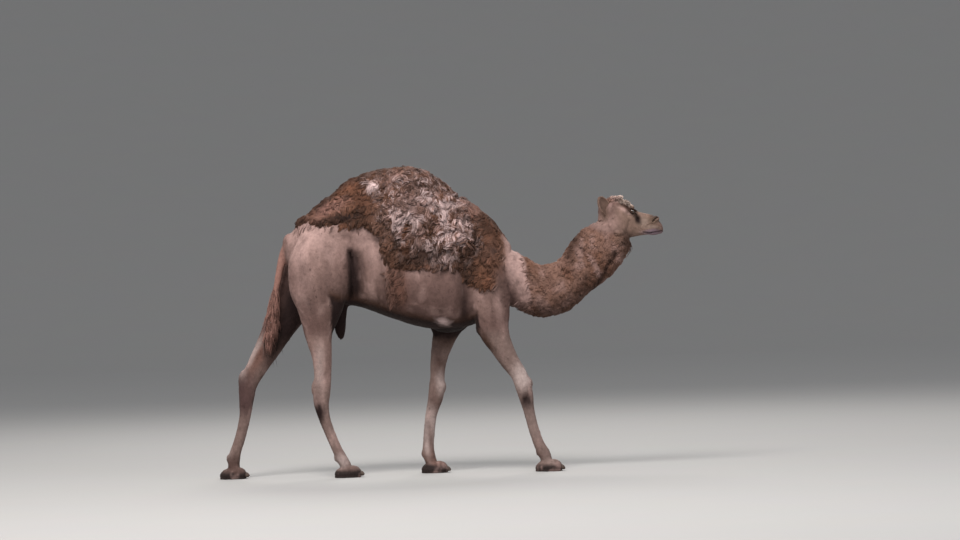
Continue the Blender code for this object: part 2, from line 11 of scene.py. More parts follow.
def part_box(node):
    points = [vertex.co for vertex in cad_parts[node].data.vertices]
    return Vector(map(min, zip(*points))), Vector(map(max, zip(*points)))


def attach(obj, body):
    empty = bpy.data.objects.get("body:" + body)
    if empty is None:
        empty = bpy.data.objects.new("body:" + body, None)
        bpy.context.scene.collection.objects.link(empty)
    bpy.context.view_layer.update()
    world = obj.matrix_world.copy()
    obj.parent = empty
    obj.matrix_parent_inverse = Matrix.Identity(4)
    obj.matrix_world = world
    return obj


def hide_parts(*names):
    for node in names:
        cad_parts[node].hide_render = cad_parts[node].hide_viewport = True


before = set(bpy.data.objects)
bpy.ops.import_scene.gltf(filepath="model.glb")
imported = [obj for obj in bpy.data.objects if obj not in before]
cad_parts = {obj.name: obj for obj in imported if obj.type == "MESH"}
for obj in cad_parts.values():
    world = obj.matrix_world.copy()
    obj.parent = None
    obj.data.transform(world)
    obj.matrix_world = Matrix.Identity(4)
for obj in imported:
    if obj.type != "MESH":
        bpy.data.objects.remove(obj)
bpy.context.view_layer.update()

# A walking dromedary half way through its moult. Work is done with the stance's own zero in x,
# and the finished meshes are moved by placeShift to where the frame has the animal.
eyePlace = {"x": 1.360, "out": 0.060, "z": 1.738, "radius": 0.021}
low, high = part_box("eye_right")
placeShift = Vector(((low[0] + high[0]) / 2 - eyePlace["x"], (low[1] + high[1]) / 2 + eyePlace["out"], 0))
print("frame loaded, shift", [round(v, 4) for v in placeShift])

view = {
    "aim": (0.3155, 1.374),  # x and height at the middle of the view
    "distance": 25.0,
    "width": 6.528,  # metres seen across at the animal
    "roll": 1.8,
}


def addCamera():
    roll = math.radians(view["roll"])
    right = Vector((math.cos(roll), 0, -math.sin(roll)))
    up = Vector((math.sin(roll), 0, math.cos(roll)))
    data = bpy.data.cameras.new("camera")
    data.sensor_width = 36
    data.lens = data.sensor_width * view["distance"] / view["width"]
    data.clip_end = 200
    camera = bpy.data.objects.new("camera", data)
    place = Matrix((right, up, right.cross(up))).transposed().to_4x4()
    place.translation = Vector((view["aim"][0], -view["distance"], view["aim"][1])) + placeShift
    camera.matrix_world = place
    bpy.context.scene.collection.objects.link(camera)
    bpy.context.scene.camera = camera


def deselectAll():
    if bpy.context.object and bpy.context.object.mode != "OBJECT":
        bpy.ops.object.mode_set(mode="OBJECT")
    bpy.ops.object.select_all(action="DESELECT")


def newPiece(name):
    piece = bpy.context.object
    piece.name = name
    piece.data.name = name
    return piece


def settle(piece):
    deselectAll()
    piece.select_set(True)
    bpy.context.view_layer.objects.active = piece
    bpy.ops.object.transform_apply(location=True, rotation=True, scale=True)


def applyModifier(piece, kind, **values):
    deselectAll()
    piece.select_set(True)
    bpy.context.view_layer.objects.active = piece
    modifier = piece.modifiers.new(kind.title(), kind)
    for key, value in values.items():
        setattr(modifier, key, value)
    bpy.ops.object.modifier_apply(modifier=modifier.name)


# Floor and light.

studio = {
    "floorHalf": 60.0,
    "floorTone": (0.37, 0.36, 0.35),
    "world": (0.93, 0.96, 1.0),
    "worldStrength": 0.46,
    "lamps": (
        # name, place, aim, size, watts, colour
        ("key", (-2.5, -7.5, 10.5), (0.0, 0.0, 1.2), 5.0, 1900, (1.0, 0.97, 0.95)),
        ("fill", (7.5, -8.0, 5.5), (0.2, 0.0, 1.2), 6.0, 260, (0.95, 0.97, 1.0)),
        ("rim", (0.5, 8.0, 9.0), (0.0, 0.0, 1.3), 5.0, 620, (1.0, 0.98, 0.95)),
    ),
}


def addStudio():
    deselectAll()
    half = studio["floorHalf"]
    bpy.ops.mesh.primitive_grid_add(x_subdivisions=48, y_subdivisions=48, size=2 * half)
    floor = newPiece("floor")
    for vertex in floor.data.vertices:
        far = math.hypot(vertex.co.x, vertex.co.y) - 0.55 * half
        if far > 0:  # the edge turns up all round
            vertex.co.z = far**1.25 * 0.16
    floor.data.materials.append(plainMaterial("studioFloor", studio["floorTone"], 0.9, 0.04))
    for face in floor.data.polygons:
        face.use_smooth = True
    world = bpy.data.worlds.new("studio")
    world.use_nodes = True
    world.node_tree.nodes["Background"].inputs["Color"].default_value = (*studio["world"], 1)
    world.node_tree.nodes["Background"].inputs["Strength"].default_value = studio["worldStrength"]
    bpy.context.scene.world = world
    for name, place, aim, size, watts, colour in studio["lamps"]:
        data = bpy.data.lights.new(name, "AREA")
        data.size = size
        data.energy = watts
        data.color = colour
        lamp = bpy.data.objects.new(name, data)
        lamp.location = place
        lamp.rotation_euler = (Vector(aim) - Vector(place)).to_track_quat("-Z", "Y").to_euler()
        bpy.context.scene.collection.objects.link(lamp)
    bpy.context.scene.view_settings.view_transform = "Standard"


def node(tree, kind, place, **values):
    made = tree.nodes.new(kind)
    made.location = place
    for key, value in values.items():
        if hasattr(made, key):
            setattr(made, key, value)
        else:
            made.inputs[key.replace("_", " ")].default_value = value
    return made


def plainMaterial(name, tone, roughness, grain):
    made = bpy.data.materials.new(name)
    made.use_nodes = True
    tree = made.node_tree
    shader = tree.nodes["Principled BSDF"]
    shader.inputs["Roughness"].default_value = roughness
    where = node(tree, "ShaderNodeTexCoord", (-900, 0))
    noise = node(tree, "ShaderNodeTexNoise", (-700, 0), Scale=1.5, Detail=4.0)
    mix = node(tree, "ShaderNodeMix", (-300, 0), data_type="RGBA", blend_type="MULTIPLY")
    mix.inputs[0].default_value = grain
    mix.inputs[6].default_value = (*tone, 1)
    tree.links.new(where.outputs["Object"], noise.inputs["Vector"])
    tree.links.new(noise.outputs["Color"], mix.inputs[7])
    tree.links.new(mix.outputs[2], shader.inputs["Base Color"])
    return made


# Sums on many points at once.

def ease(value):
    value = np.clip(value, 0, 1)
    return value * value * (3 - 2 * value)


def mottle(points, size, seed=0):
    # smooth value noise from -1 to 1, the same on every run
    grid = points / size + 211.3 + seed * 17.17
    cell = np.floor(grid).astype(np.int64)
    part = ease(grid - cell)
    total = np.zeros(len(points))
    for corner in itertools.product((0, 1), repeat=3):
        at = cell + corner
        mixed = at[:, 0] * 73856093 ^ at[:, 1] * 19349663 ^ at[:, 2] * 83492791
        mixed = (mixed ^ (mixed >> 13)) * 1274126177 & 0x7FFFFFFF
        value = ((mixed ^ (mixed >> 16)) & 0xFFFF) / 32767.5 - 1
        share = np.ones(len(points))
        for axis in range(3):
            share *= part[:, axis] if corner[axis] else 1 - part[:, axis]
        total += share * value
    return total


def billow(points, size, seed=0, layers=3):
    total, weight, whole = 0, 1.0, 0
    for k in range(layers):
        total = total + weight * mottle(points, size / 2**k, seed + k)
        whole += weight
        weight *= 0.55
    return total / whole


def patchMask(points, x, z, long, tall, turn=0.0, soft=0.3, power=2.0):
    c, s = math.cos(math.radians(turn)), math.sin(math.radians(turn))
    u = np.abs((points[:, 0] - x) * c + (points[:, 2] - z) * s) / long
    v = np.abs((points[:, 2] - z) * c - (points[:, 0] - x) * s) / tall
    reach = (u**power + v**power) ** (1 / power)
    return ease((1 + soft - reach) / (2 * soft))


def strokeMask(points, path, width):
    # 1 on a line drawn in side view, falling away over its width
    best = np.full(len(points), 9.0)
    flat = points[:, (0, 2)]
    for one, two in zip(path, path[1:]):
        a, b = np.array(one), np.array(two)
        along = np.clip((flat - a) @ (b - a) / ((b - a) @ (b - a)), 0, 1)
        best = np.minimum(best, np.linalg.norm(flat - a - along[:, None] * (b - a), axis=1))
    return np.exp(-((best / width) ** 2))


def onSide(points, side):
    # side -1 is the right of the animal, 1 its left, 0 both, 2 the middle
    if side == 2:
        return ease((0.075 - np.abs(points[:, 1])) / 0.03)
    return np.ones(len(points)) if side == 0 else ease(points[:, 1] * side / 0.03 + 0.5)


def unit(ways):
    return ways / np.maximum(np.linalg.norm(ways, axis=1), 1e-9)[:, None]


# The flesh: what lies under the coat.

trunk = (  # x, top, bottom, half width, how much wider above the middle
    (-0.955, 1.665, 1.400, 0.085, 0.00),
    (-0.890, 1.745, 1.260, 0.165, 0.00),
    (-0.790, 1.765, 1.190, 0.215, 0.05),  # rump
    (-0.660, 1.785, 1.170, 0.230, 0.08),
    (-0.500, 1.790, 1.146, 0.212, 0.02),  # flank
    (-0.320, 1.800, 1.074, 0.262, -0.08),
    (-0.100, 1.810, 1.002, 0.292, -0.10),  # barrel
    (0.080, 1.805, 0.978, 0.275, -0.08),
    (0.240, 1.795, 1.000, 0.225, -0.02),  # withers
    (0.370, 1.740, 1.065, 0.180, 0.00),
    (0.480, 1.590, 1.125, 0.150, 0.00),
    (0.560, 1.465, 1.165, 0.120, 0.00),
)
hump = (
    (-0.800, 1.800, 1.500, 0.100, -0.30),
    (-0.660, 1.905, 1.500, 0.160, -0.38),
    (-0.540, 2.000, 1.500, 0.190, -0.42),
    (-0.400, 2.052, 1.500, 0.215, -0.46),
    (-0.210, 2.076, 1.500, 0.225, -0.48),  # crown
    (-0.060, 2.054, 1.500, 0.215, -0.46),
    (0.050, 1.978, 1.500, 0.190, -0.42),
    (0.150, 1.892, 1.500, 0.160, -0.36),
    (0.260, 1.825, 1.500, 0.120, -0.30),
)
headForm = (
    (1.180, 1.806, 1.650, 0.058, 0.00),
    (1.218, 1.832, 1.602, 0.078, 0.00),
    (1.270, 1.830, 1.570, 0.086, 0.05),
    (1.325, 1.808, 1.562, 0.086, 0.12),
    (1.365, 1.772, 1.566, 0.074, 0.12),
    (1.400, 1.740, 1.572, 0.060, 0.05),
    (1.440, 1.727, 1.577, 0.051, 0.00),
    (1.480, 1.717, 1.578, 0.047, 0.00),
    (1.518, 1.701, 1.575, 0.046, 0.05),
    (1.543, 1.668, 1.583, 0.034, 0.05),
)
neckForm = (  # x, y, z, half depth, half width, taper
    (0.330, 0, 1.400, 0.200, 0.130, 0.0),
    (0.480, 0, 1.325, 0.170, 0.125, 0.0),
    (0.590, 0, 1.272, 0.151, 0.110, 0.0),
    (0.680, 0, 1.231, 0.147, 0.100, 0.0),
    (0.775, 0, 1.220, 0.152, 0.096, 0.0),
    (0.875, 0, 1.259, 0.140, 0.092, 0.0),
    (0.955, 0, 1.315, 0.128, 0.088, 0.0),
    (1.024, 0, 1.380, 0.142, 0.086, 0.0),
    (1.087, 0, 1.446, 0.153, 0.084, 0.0),
    (1.148, 0, 1.507, 0.151, 0.082, 0.0),
    (1.208, 0, 1.563, 0.129, 0.078, 0.0),
    (1.243, 0, 1.620, 0.110, 0.074, 0.0),
)
tailForm = (
    (-0.940, 0, 1.615, 0.036, 0.036, 0.0),
    (-0.965, 0, 1.600, 0.036, 0.036, 0.0),
    (-1.005, 0, 1.545, 0.033, 0.032, 0.0),
    (-1.036, 0, 1.450, 0.027, 0.028, 0.0),
    (-1.062, 0, 1.340, 0.023, 0.024, 0.0),
    (-1.085, 0, 1.220, 0.020, 0.020, 0.0),
    (-1.104, 0, 1.120, 0.017, 0.017, 0.0),
    (-1.120, 0, 1.030, 0.013, 0.013, 0.0),
    (-1.130, 0, 0.985, 0.008, 0.008, 0.0),
)
sheathForm = (
    (-0.630, 0, 1.230, 0.055, 0.034, 0.0),
    (-0.642, 0, 1.140, 0.050, 0.034, 0.0),
    (-0.648, 0, 1.060, 0.044, 0.032, 0.0),
    (-0.646, 0, 0.990, 0.038, 0.028, 0.0),
    (-0.643, 0, 0.945, 0.024, 0.020, 0.0),
)
legForms = {
    "fore_right": {
        "side": -1, "track": 0.115, "foot": 0.742,
        "path": (
            (0.240, 0.015, 1.640, 0.090, 0.045, 0.0),
            (0.300, 0.030, 1.440, 0.125, 0.066, 0.0),
            (0.362, 0.025, 1.240, 0.128, 0.080, 0.0),
            (0.384, 0.012, 1.080, 0.118, 0.078, 0.0),
            (0.396, 0.004, 0.965, 0.106, 0.066, 0.0),
            (0.440, 0.000, 0.860, 0.080, 0.055, 0.1),
            (0.498, 0.000, 0.750, 0.064, 0.047, 0.1),
            (0.556, 0.000, 0.660, 0.055, 0.045, 0.0),
            (0.584, 0.000, 0.580, 0.056, 0.052, 0.0),
            (0.600, 0.000, 0.510, 0.050, 0.047, 0.0),
            (0.616, 0.000, 0.420, 0.038, 0.036, 0.0),
            (0.642, 0.000, 0.300, 0.035, 0.033, 0.0),
            (0.676, 0.000, 0.190, 0.036, 0.036, 0.0),
            (0.706, 0.000, 0.128, 0.041, 0.043, 0.0),
            (0.728, 0.000, 0.075, 0.038, 0.044, 0.0),
        ),
    },
    "fore_left": {
        "side": 1, "track": 0.115, "foot": -0.034,
        "path": (
            (0.230, 0.015, 1.640, 0.090, 0.045, 0.0),
            (0.270, 0.030, 1.440, 0.125, 0.066, 0.0),
            (0.275, 0.025, 1.250, 0.128, 0.080, 0.0),
            (0.165, 0.012, 1.110, 0.122, 0.078, 0.0),
            (0.085, 0.004, 0.995, 0.098, 0.066, 0.0),
            (0.040, 0.000, 0.870, 0.071, 0.055, 0.1),
            (0.013, 0.000, 0.760, 0.056, 0.047, 0.1),
            (0.002, 0.000, 0.660, 0.049, 0.045, 0.0),
            (-0.004, 0.000, 0.575, 0.055, 0.052, 0.0),
            (-0.018, 0.000, 0.500, 0.050, 0.047, 0.0),
            (-0.046, 0.000, 0.410, 0.040, 0.036, 0.0),
            (-0.064, 0.000, 0.290, 0.038, 0.034, 0.0),
            (-0.074, 0.000, 0.185, 0.038, 0.036, 0.0),
            (-0.074, 0.000, 0.128, 0.042, 0.043, 0.0),
            (-0.056, 0.000, 0.070, 0.038, 0.044, 0.0),
        ),
    },
    "hind_right": {
        "side": -1, "track": 0.125, "foot": -0.618,
        "path": (
            (-0.770, 0.010, 1.620, 0.130, 0.070, 0.0),
            (-0.785, 0.025, 1.470, 0.190, 0.100, 0.0),
            (-0.785, 0.025, 1.310, 0.196, 0.108, 0.1),
            (-0.775, 0.018, 1.180, 0.170, 0.095, 0.1),
            (-0.783, 0.010, 1.075, 0.130, 0.078, 0.1),
            (-0.790, 0.000, 0.965, 0.094, 0.062, 0.0),
            (-0.774, 0.000, 0.840, 0.070, 0.052, 0.0),
            (-0.770, 0.000, 0.700, 0.058, 0.044, 0.0),
            (-0.780, 0.000, 0.590, 0.059, 0.046, 0.0),
            (-0.785, 0.000, 0.500, 0.051, 0.043, 0.0),
            (-0.766, 0.000, 0.400, 0.038, 0.036, 0.0),
            (-0.724, 0.000, 0.280, 0.034, 0.033, 0.0),
            (-0.686, 0.000, 0.185, 0.034, 0.036, 0.0),
            (-0.660, 0.000, 0.130, 0.038, 0.042, 0.0),
            (-0.630, 0.000, 0.075, 0.037, 0.043, 0.0),
        ),
    },
    "hind_left": {
        "side": 1, "track": 0.125, "foot": -1.412,
        "path": (
            (-0.790, 0.010, 1.620, 0.130, 0.070, 0.0),
            (-0.840, 0.025, 1.470, 0.185, 0.100, 0.0),
            (-0.905, 0.025, 1.320, 0.186, 0.106, 0.1),
            (-0.970, 0.018, 1.200, 0.158, 0.092, 0.1),
            (-1.025, 0.010, 1.100, 0.124, 0.076, 0.1),
            (-1.092, 0.000, 0.985, 0.102, 0.062, 0.0),
            (-1.160, 0.000, 0.870, 0.086, 0.052, 0.0),
            (-1.234, 0.000, 0.750, 0.070, 0.044, 0.0),
            (-1.290, 0.000, 0.650, 0.064, 0.046, 0.0),
            (-1.306, 0.000, 0.550, 0.052, 0.043, 0.0),
            (-1.320, 0.000, 0.430, 0.039, 0.036, 0.0),
            (-1.352, 0.000, 0.300, 0.036, 0.033, 0.0),
            (-1.388, 0.000, 0.195, 0.037, 0.036, 0.0),
            (-1.406, 0.000, 0.135, 0.042, 0.042, 0.0),
            (-1.406, 0.000, 0.070, 0.040, 0.043, 0.0),
        ),
    },
}
sideLumps = (  # bone and muscle: x, y, z, three radii, pitch
    (-0.620, 0.186, 1.655, 0.095, 0.040, 0.055, 15),  # hip
    (-0.940, 0.080, 1.510, 0.055, 0.045, 0.090, 0),  # buttock
    (0.170, 0.120, 1.690, 0.100, 0.050, 0.120, -20),  # shoulder blade
    (0.445, 0.115, 1.250, 0.060, 0.040, 0.080, 0),
    (1.270, 0.064, 1.640, 0.060, 0.028, 0.062, 10),  # cheek
    (1.340, 0.055, 1.780, 0.044, 0.023, 0.016, -27),  # brow
    (1.360, 0.058, 1.700, 0.050, 0.018, 0.018, 10),  # cheekbone
    (1.516, 0.028, 1.682, 0.030, 0.020, 0.022, 15),  # nostril
    (1.525, 0.020, 1.640, 0.026, 0.024, 0.032, 0),  # upper lip
)
middleLumps = (
    (1.505, 0, 1.592, 0.040, 0.032, 0.018, 6),  # lower lip
    (0.620, 0, 1.180, 0.110, 0.060, 0.060, -20),  # dewlap
)
footForm = {"long": 0.182, "wide": 0.158}
coatDepth = {
    "short": 0.004,
    "edge": 0.10,
    # winter wool: x, z, half length, half height, turn, depth; nought takes it away again
    "wool": (
        (-0.240, 1.900, 0.400, 0.260, 0, 0.036),  # hump
        (0.000, 1.600, 0.350, 0.205, -4, 0.034),  # saddle
        (-0.530, 1.560, 0.168, 0.145, 20, 0.0),  # bare flank
        (-0.635, 1.872, 0.335, 0.150, 0, 0.050),  # cape
        (-0.250, 1.310, 0.075, 0.170, 0, 0.0145),  # last strip on the flank
        (0.370, 1.520, 0.150, 0.260, -12, 0.026),  # shoulder
        (0.270, 1.780, 0.110, 0.130, -30, 0.030),  # withers
        (0.060, 1.180, 0.290, 0.230, 0, 0.010),
        (0.755, 1.240, 0.290, 0.300, 10, 0.034),  # lower neck
        (1.110, 1.420, 0.250, 0.260, 50, 0.034),  # upper neck
        (1.250, 1.860, 0.080, 0.050, 0, 0.016),  # topknot
    ),
    # where it is worn down to the felt: the collar, before the shoulder, behind the cheek
    "worn": (
        (0.566, 1.385, 0.062, 0.310, 14),
        (0.500, 1.210, 0.085, 0.240, 6),
        (1.170, 1.680, 0.140, 0.085, -14),
    ),
}


def smoothCurve(rows, steps):
    rows = np.array(rows, float)
    ends = np.vstack([2 * rows[0] - rows[1], rows, 2 * rows[-1] - rows[-2]])
    found = []
    for a, b, c, d in zip(ends, ends[1:], ends[2:], ends[3:]):
        for t in np.arange(steps) / steps:
            bend = (2 * a - 5 * b + 4 * c - d) * t * t + (3 * b - 3 * c + d - a) * t**3
            found.append(0.5 * (2 * b + (c - a) * t + bend))
    return np.array([*found, rows[-1]])


def upright(rows):
    return [(x, 0, (t + b) / 2, (t - b) / 2, w, k) for x, t, b, w, k in rows]


def loftMesh(rows, steps=4, vertical=False, cap=0.9, sides=28, squareness=0.88):
    rows = smoothCurve(rows, steps)
    ways = np.gradient(rows[:, :3], axis=0)
    ways /= np.linalg.norm(ways, axis=1)[:, None]
    angles = np.arange(sides) * math.tau / sides
    tall = np.sign(np.sin(angles)) * np.abs(np.sin(angles)) ** squareness
    across = np.sign(np.cos(angles)) * np.abs(np.cos(angles)) ** squareness

    def ring(middle, way, deep, wide, taper):
        side = Vector((0, 1, 0))
        up = Vector((0, 0, 1)) if vertical else Vector(way).cross(side).normalized()
        spread = across * wide * (1 + taper * tall)
        return [middle + up * (deep * h) + side * s for h, s in zip(tall, spread)]

    rings = [ring(Vector(row[:3]), way, *row[3:]) for row, way in zip(rows, ways)]
    for at, sign in ((0, -1), (-1, 1)):
        row, way = rows[at], Vector(ways[at])
        for angle in (30, 58, 80):  # rounds the end off
            reach = sign * cap * min(row[3], row[4]) * math.sin(math.radians(angle))
            shrink = math.cos(math.radians(angle))
            made = ring(Vector(row[:3]) + way * reach, way, row[3] * shrink, row[4] * shrink, row[5])
            rings.insert(0, made) if sign < 0 else rings.append(made)
    mesh = bmesh.new()
    loops = [[mesh.verts.new(p) for p in points] for points in rings]
    for one, two in zip(loops, loops[1:]):
        for k in range(sides):
            n = (k + 1) % sides
            mesh.faces.new((one[k], one[n], two[n], two[k]))
    mesh.faces.new(loops[0][::-1])
    mesh.faces.new(loops[-1])
    bmesh.ops.recalc_face_normals(mesh, faces=mesh.faces)
    return mesh


def ballMesh(centre, radii, pitch=0.0, rings=12):
    mesh = bmesh.new()
    turn = Matrix.Rotation(math.radians(-pitch), 4, "Y")
    place = Matrix.Translation(centre) @ turn @ Matrix.Diagonal((*radii, 1))
    bmesh.ops.create_uvsphere(mesh, u_segments=2 * rings, v_segments=rings, radius=1, matrix=place)
    return mesh


def footMeshes(x, y):
    long, wide = footForm["long"] / 2, footForm["wide"] / 2
    shapes = [ballMesh((x - 0.012, y, 0.016), (long * 0.92, wide, 0.060))]
    for spread in (-1, 1):
        toe = (x + 0.032, y + spread * wide * 0.46, 0.026)
        shapes.append(ballMesh(toe, (long * 0.67, wide * 0.50, 0.054), -12))
    return shapes


def legMeshes(name):
    form = legForms[name]
    side, track = form["side"], form["track"]
    y = side * track
    rows = [(x, side * (track + out), z, d, w, k) for x, out, z, d, w, k in form["path"]]
    shapes = [loftMesh(rows)] + footMeshes(form["foot"], y)
    path = form["path"]
    fetlock, middle, upper = path[13], path[8], path[4]
    shapes.append(ballMesh((fetlock[0] - 0.022, y, fetlock[2] + 0.005), (0.030, 0.030, 0.034)))
    if name.startswith("fore"):
        shapes.append(ballMesh((middle[0] + 0.016, y, middle[2]), (0.046, 0.046, 0.066), -20))
        shapes.append(ballMesh((upper[0] - 0.075, y, upper[2] - 0.010), (0.055, 0.036, 0.034), -35))
    else:
        shapes.append(ballMesh((middle[0] - 0.038, y, middle[2] + 0.030), (0.031, 0.024, 0.066), -12))
        shapes.append(ballMesh((upper[0] + 0.090, y * 1.05, upper[2] + 0.03), (0.05, 0.05, 0.08)))
    return shapes


def fleshMeshes():
    shapes = [
        loftMesh(upright(trunk), vertical=True),
        loftMesh(upright(hump), vertical=True),
        loftMesh(upright(headForm), vertical=True),
        loftMesh(neckForm),
        loftMesh(tailForm, sides=16),
        loftMesh(sheathForm, sides=16),
    ]
    for name in legForms:
        shapes += legMeshes(name)
    for x, y, z, a, b, c, pitch in sideLumps:
        shapes += [ballMesh((x, side * y, z), (a, b, c), pitch) for side in (-1, 1)]
    return shapes + [ballMesh(row[:3], row[3:6], row[6]) for row in middleLumps]


def woolDepth(points):
    depth = np.full(len(points), coatDepth["short"])
    wander = np.stack([billow(points, 0.11, seed, 2) for seed in (121, 131, 141)], axis=1)
    spots = points + wander * 0.026  # ragged edges
    for x, z, long, tall, turn, most in coatDepth["wool"]:
        mask = patchMask(spots, x, z, long, tall, turn, coatDepth["edge"], 4.0)
        if most:
            depth = np.maximum(depth, most * mask)
        else:
            depth += (coatDepth["short"] - depth) * mask
    return depth


def woolCover(points):
    # how much of a place is covered by locks of winter wool
    cover = ease((woolDepth(points) - 0.0105) / 0.012)
    for x, z, long, tall, turn in coatDepth["worn"]:
        cover *= 1 - patchMask(points, x, z, long, tall, turn, 0.30, 3.0)
    return cover


def coordinates(mesh):
    found = np.empty(len(mesh.vertices) * 3)
    mesh.vertices.foreach_get("co", found)
    return found.reshape(-1, 3)


def vertexNormals(mesh):
    found = np.empty(len(mesh.vertices) * 3)
    mesh.vertex_normals.foreach_get("vector", found)
    return found.reshape(-1, 3)


def putCoordinates(mesh, points):
    mesh.vertices.foreach_set("co", points.ravel())
    mesh.update()


# The skin: one closed surface from the lips to the tail, with the folds that lie under the hair.

skinForm = {
    "grain": 0.006,
    "triangles": 172000,
    "felt": 0.50,  # share of the winter wool's depth that is matted solid
    "neckFelt": 0.26,  # and how much more of it on the neck
    # grooves in side view: path, width, depth, side (-1 right, 1 left, 0 both)
    "grooves": (
        (((-0.556, 1.520), (-0.550, 1.440), (-0.550, 1.340), (-0.570, 1.200)), 0.015, 0.036, 0),
        (((-0.525, 1.480), (-0.512, 1.400), (-0.525, 1.230)), 0.040, 0.034, 0),
        (((0.196, 1.560), (0.210, 1.400), (0.214, 1.180), (0.190, 1.040)), 0.026, 0.016, 0),
        (((0.945, 1.578), (0.985, 1.516), (1.032, 1.454)), 0.016, 0.011, 0),
        (((1.237, 1.461), (1.205, 1.420), (1.173, 1.381), (1.130, 1.287), (1.090, 1.234)), 0.014, 0.010, 0),
        (((-0.905, 1.560), (-0.868, 1.340), (-0.835, 1.130)), 0.030, 0.006, -1),
        (((-0.930, 1.540), (-0.985, 1.330), (-1.060, 1.130)), 0.030, 0.006, 1),
        (((-0.725, 1.560), (-0.700, 1.380), (-0.735, 1.200)), 0.040, 0.006, -1),
        (((0.255, 1.100), (0.330, 1.020), (0.350, 0.900)), 0.014, 0.006, -1),
        (((0.345, 1.420), (0.395, 1.240), (0.470, 1.120)), 0.016, 0.006, 0),
        (((0.500, 1.440), (0.560, 1.300), (0.600, 1.200)), 0.014, 0.006, 0),
    ),
    # hollows and swellings in side view: x, z, half length, half height, turn, rise, side
    "swells": (
        (-0.440, 1.480, 0.095, 0.190, 8, -0.022, 0),  # flank
        (-0.690, 1.690, 0.080, 0.050, 10, 0.010, 0),  # hip
        (-0.880, 1.640, 0.060, 0.060, 0, -0.008, 0),
        (0.300, 1.330, 0.060, 0.170, -16, 0.008, 0),  # shoulder muscle
        (0.020, 1.110, 0.250, 0.060, 0, 0.006, 0),
        (-0.790, 1.350, 0.120, 0.180, 0, 0.010, -1),
    ),
    "ribs": {"spacing": 0.066, "lean": 0.16, "rise": 0.0035, "place": (-0.34, 1.30, 0.17, 0.20)},
    # folds of the face: path, width, depth
    "face": (
        (((1.562, 1.601), (1.520, 1.594), (1.470, 1.590), (1.435, 1.595)), 0.0042, 0.0100),  # mouth
        (((1.534, 1.695), (1.517, 1.686), (1.499, 1.667)), 0.0042, 0.0120),  # nostril
        (((1.540, 1.704), (1.512, 1.698), (1.490, 1.676), (1.492, 1.662)), 0.0070, -0.0035),
        (((1.540, 1.683), (1.520, 1.672), (1.505, 1.657)), 0.0060, -0.0030),
        (((1.392, 1.722), (1.402, 1.692), (1.430, 1.668)), 0.0110, 0.0050),
        (((1.338, 1.670), (1.328, 1.625), (1.300, 1.585)), 0.0110, 0.0050),
        (((1.462, 1.640), (1.485, 1.652), (1.500, 1.650)), 0.0050, 0.0022),
        (((1.448, 1.652), (1.470, 1.668), (1.488, 1.668)), 0.0050, 0.0018),
        (((1.420, 1.645), (1.412, 1.622), (1.425, 1.604)), 0.0055, 0.0028),
        (((1.405, 1.640), (1.398, 1.616), (1.410, 1.600)), 0.0055, 0.0018),
        (((1.330, 1.712), (1.362, 1.704), (1.392, 1.700)), 0.0050, 0.0026),  # under the lower lid
        (((1.318, 1.764), (1.345, 1.776), (1.378, 1.764)), 0.0050, 0.0030),  # over the upper lid
    ),
    "faceSwells": (
        (1.400, 1.688, 0.017, 0.018, 0, -0.007),
        (1.300, 1.782, 0.030, 0.018, -10, -0.006),  # temple
        (1.455, 1.690, 0.040, 0.018, -12, -0.004),
        (1.440, 1.592, 0.050, 0.010, 2, 0.003),  # jaw bone
        (1.540, 1.630, 0.018, 0.018, 0, 0.003),
    ),
    "legGroove": {"behind": 0.34, "width": 0.008, "depth": 0.0045},
}


def gazeAxes(side):
    gaze = Vector((0.26, side * 0.955, 0.10)).normalized()
    corner = Vector((0.93, 0, -0.36))
    corner = (corner - gaze * corner.dot(gaze)).normalized()
    lift = gaze.cross(corner)
    if lift.z < 0:
        lift = -lift
    return gaze, corner, lift


def shapeSockets(points):
    for side in (-1, 1):
        centre = np.array((eyePlace["x"], side * eyePlace["out"], eyePlace["z"]))
        gaze, corner, lift = (np.array(v) for v in gazeAxes(side))
        reach = points - centre
        radius = np.linalg.norm(reach, axis=1)
        near = (radius < 0.060) & (reach @ gaze > -0.006)
        way = reach[near] / radius[near][:, None]
        across = np.degrees(np.arcsin(np.clip(way @ corner, -1, 1))) / 1.30
        tall = np.degrees(np.arcsin(np.clip(way @ lift, -1, 1))) / 0.88
        angle = np.hypot(across, tall)
        angle = np.where(way @ gaze < 0, 95, angle)
        target = 0.0160 + 0.0088 * ease((angle - 34) / 14)
        share = 1 - ease((angle - 52) / 34)
        points[near] = centre + way * (radius[near] * (1 - share) + target * share)[:, None]
    return points


def shapeFeet(points, normals):
    for form in legForms.values():
        y = form["side"] * form["track"]
        x = form["foot"]
        near = (np.abs(points[:, 0] - x) < 0.14) & (np.abs(points[:, 1] - y) < 0.12)
        near &= points[:, 2] < 0.11
        spot, way = points[near], normals[near]
        ahead = ease((spot[:, 0] - x - 0.010) / 0.04)
        split = np.exp(-(((spot[:, 1] - y) / 0.0075) ** 2)) * ahead * 0.014
        rim = np.exp(-(((spot[:, 2] - 0.014) / 0.004) ** 2)) * 0.0035
        wrinkle = np.abs(mottle(spot * (1, 1, 2.4), 0.014, 5)) * 0.0022
        points[near] = spot - way * (split + rim + wrinkle)[:, None]
        path = form["path"][9:13]
        back = backGroove(path)
        leg = (np.abs(points[:, 1] - y) < 0.09) & (points[:, 2] < 0.50) & (points[:, 2] > 0.14)
        leg &= np.abs(points[:, 0] - np.interp(points[:, 2], *shinLine(path))) < 0.09
        mask = strokeMask(points[leg], back, skinForm["legGroove"]["width"])
        depth = skinForm["legGroove"]["depth"] * mask * np.abs(normals[leg][:, 1])
        points[leg] -= normals[leg] * depth[:, None]
    return points


def shinLine(path):
    rows = sorted((row[2], row[0]) for row in path)
    return [row[0] for row in rows], [row[1] for row in rows]


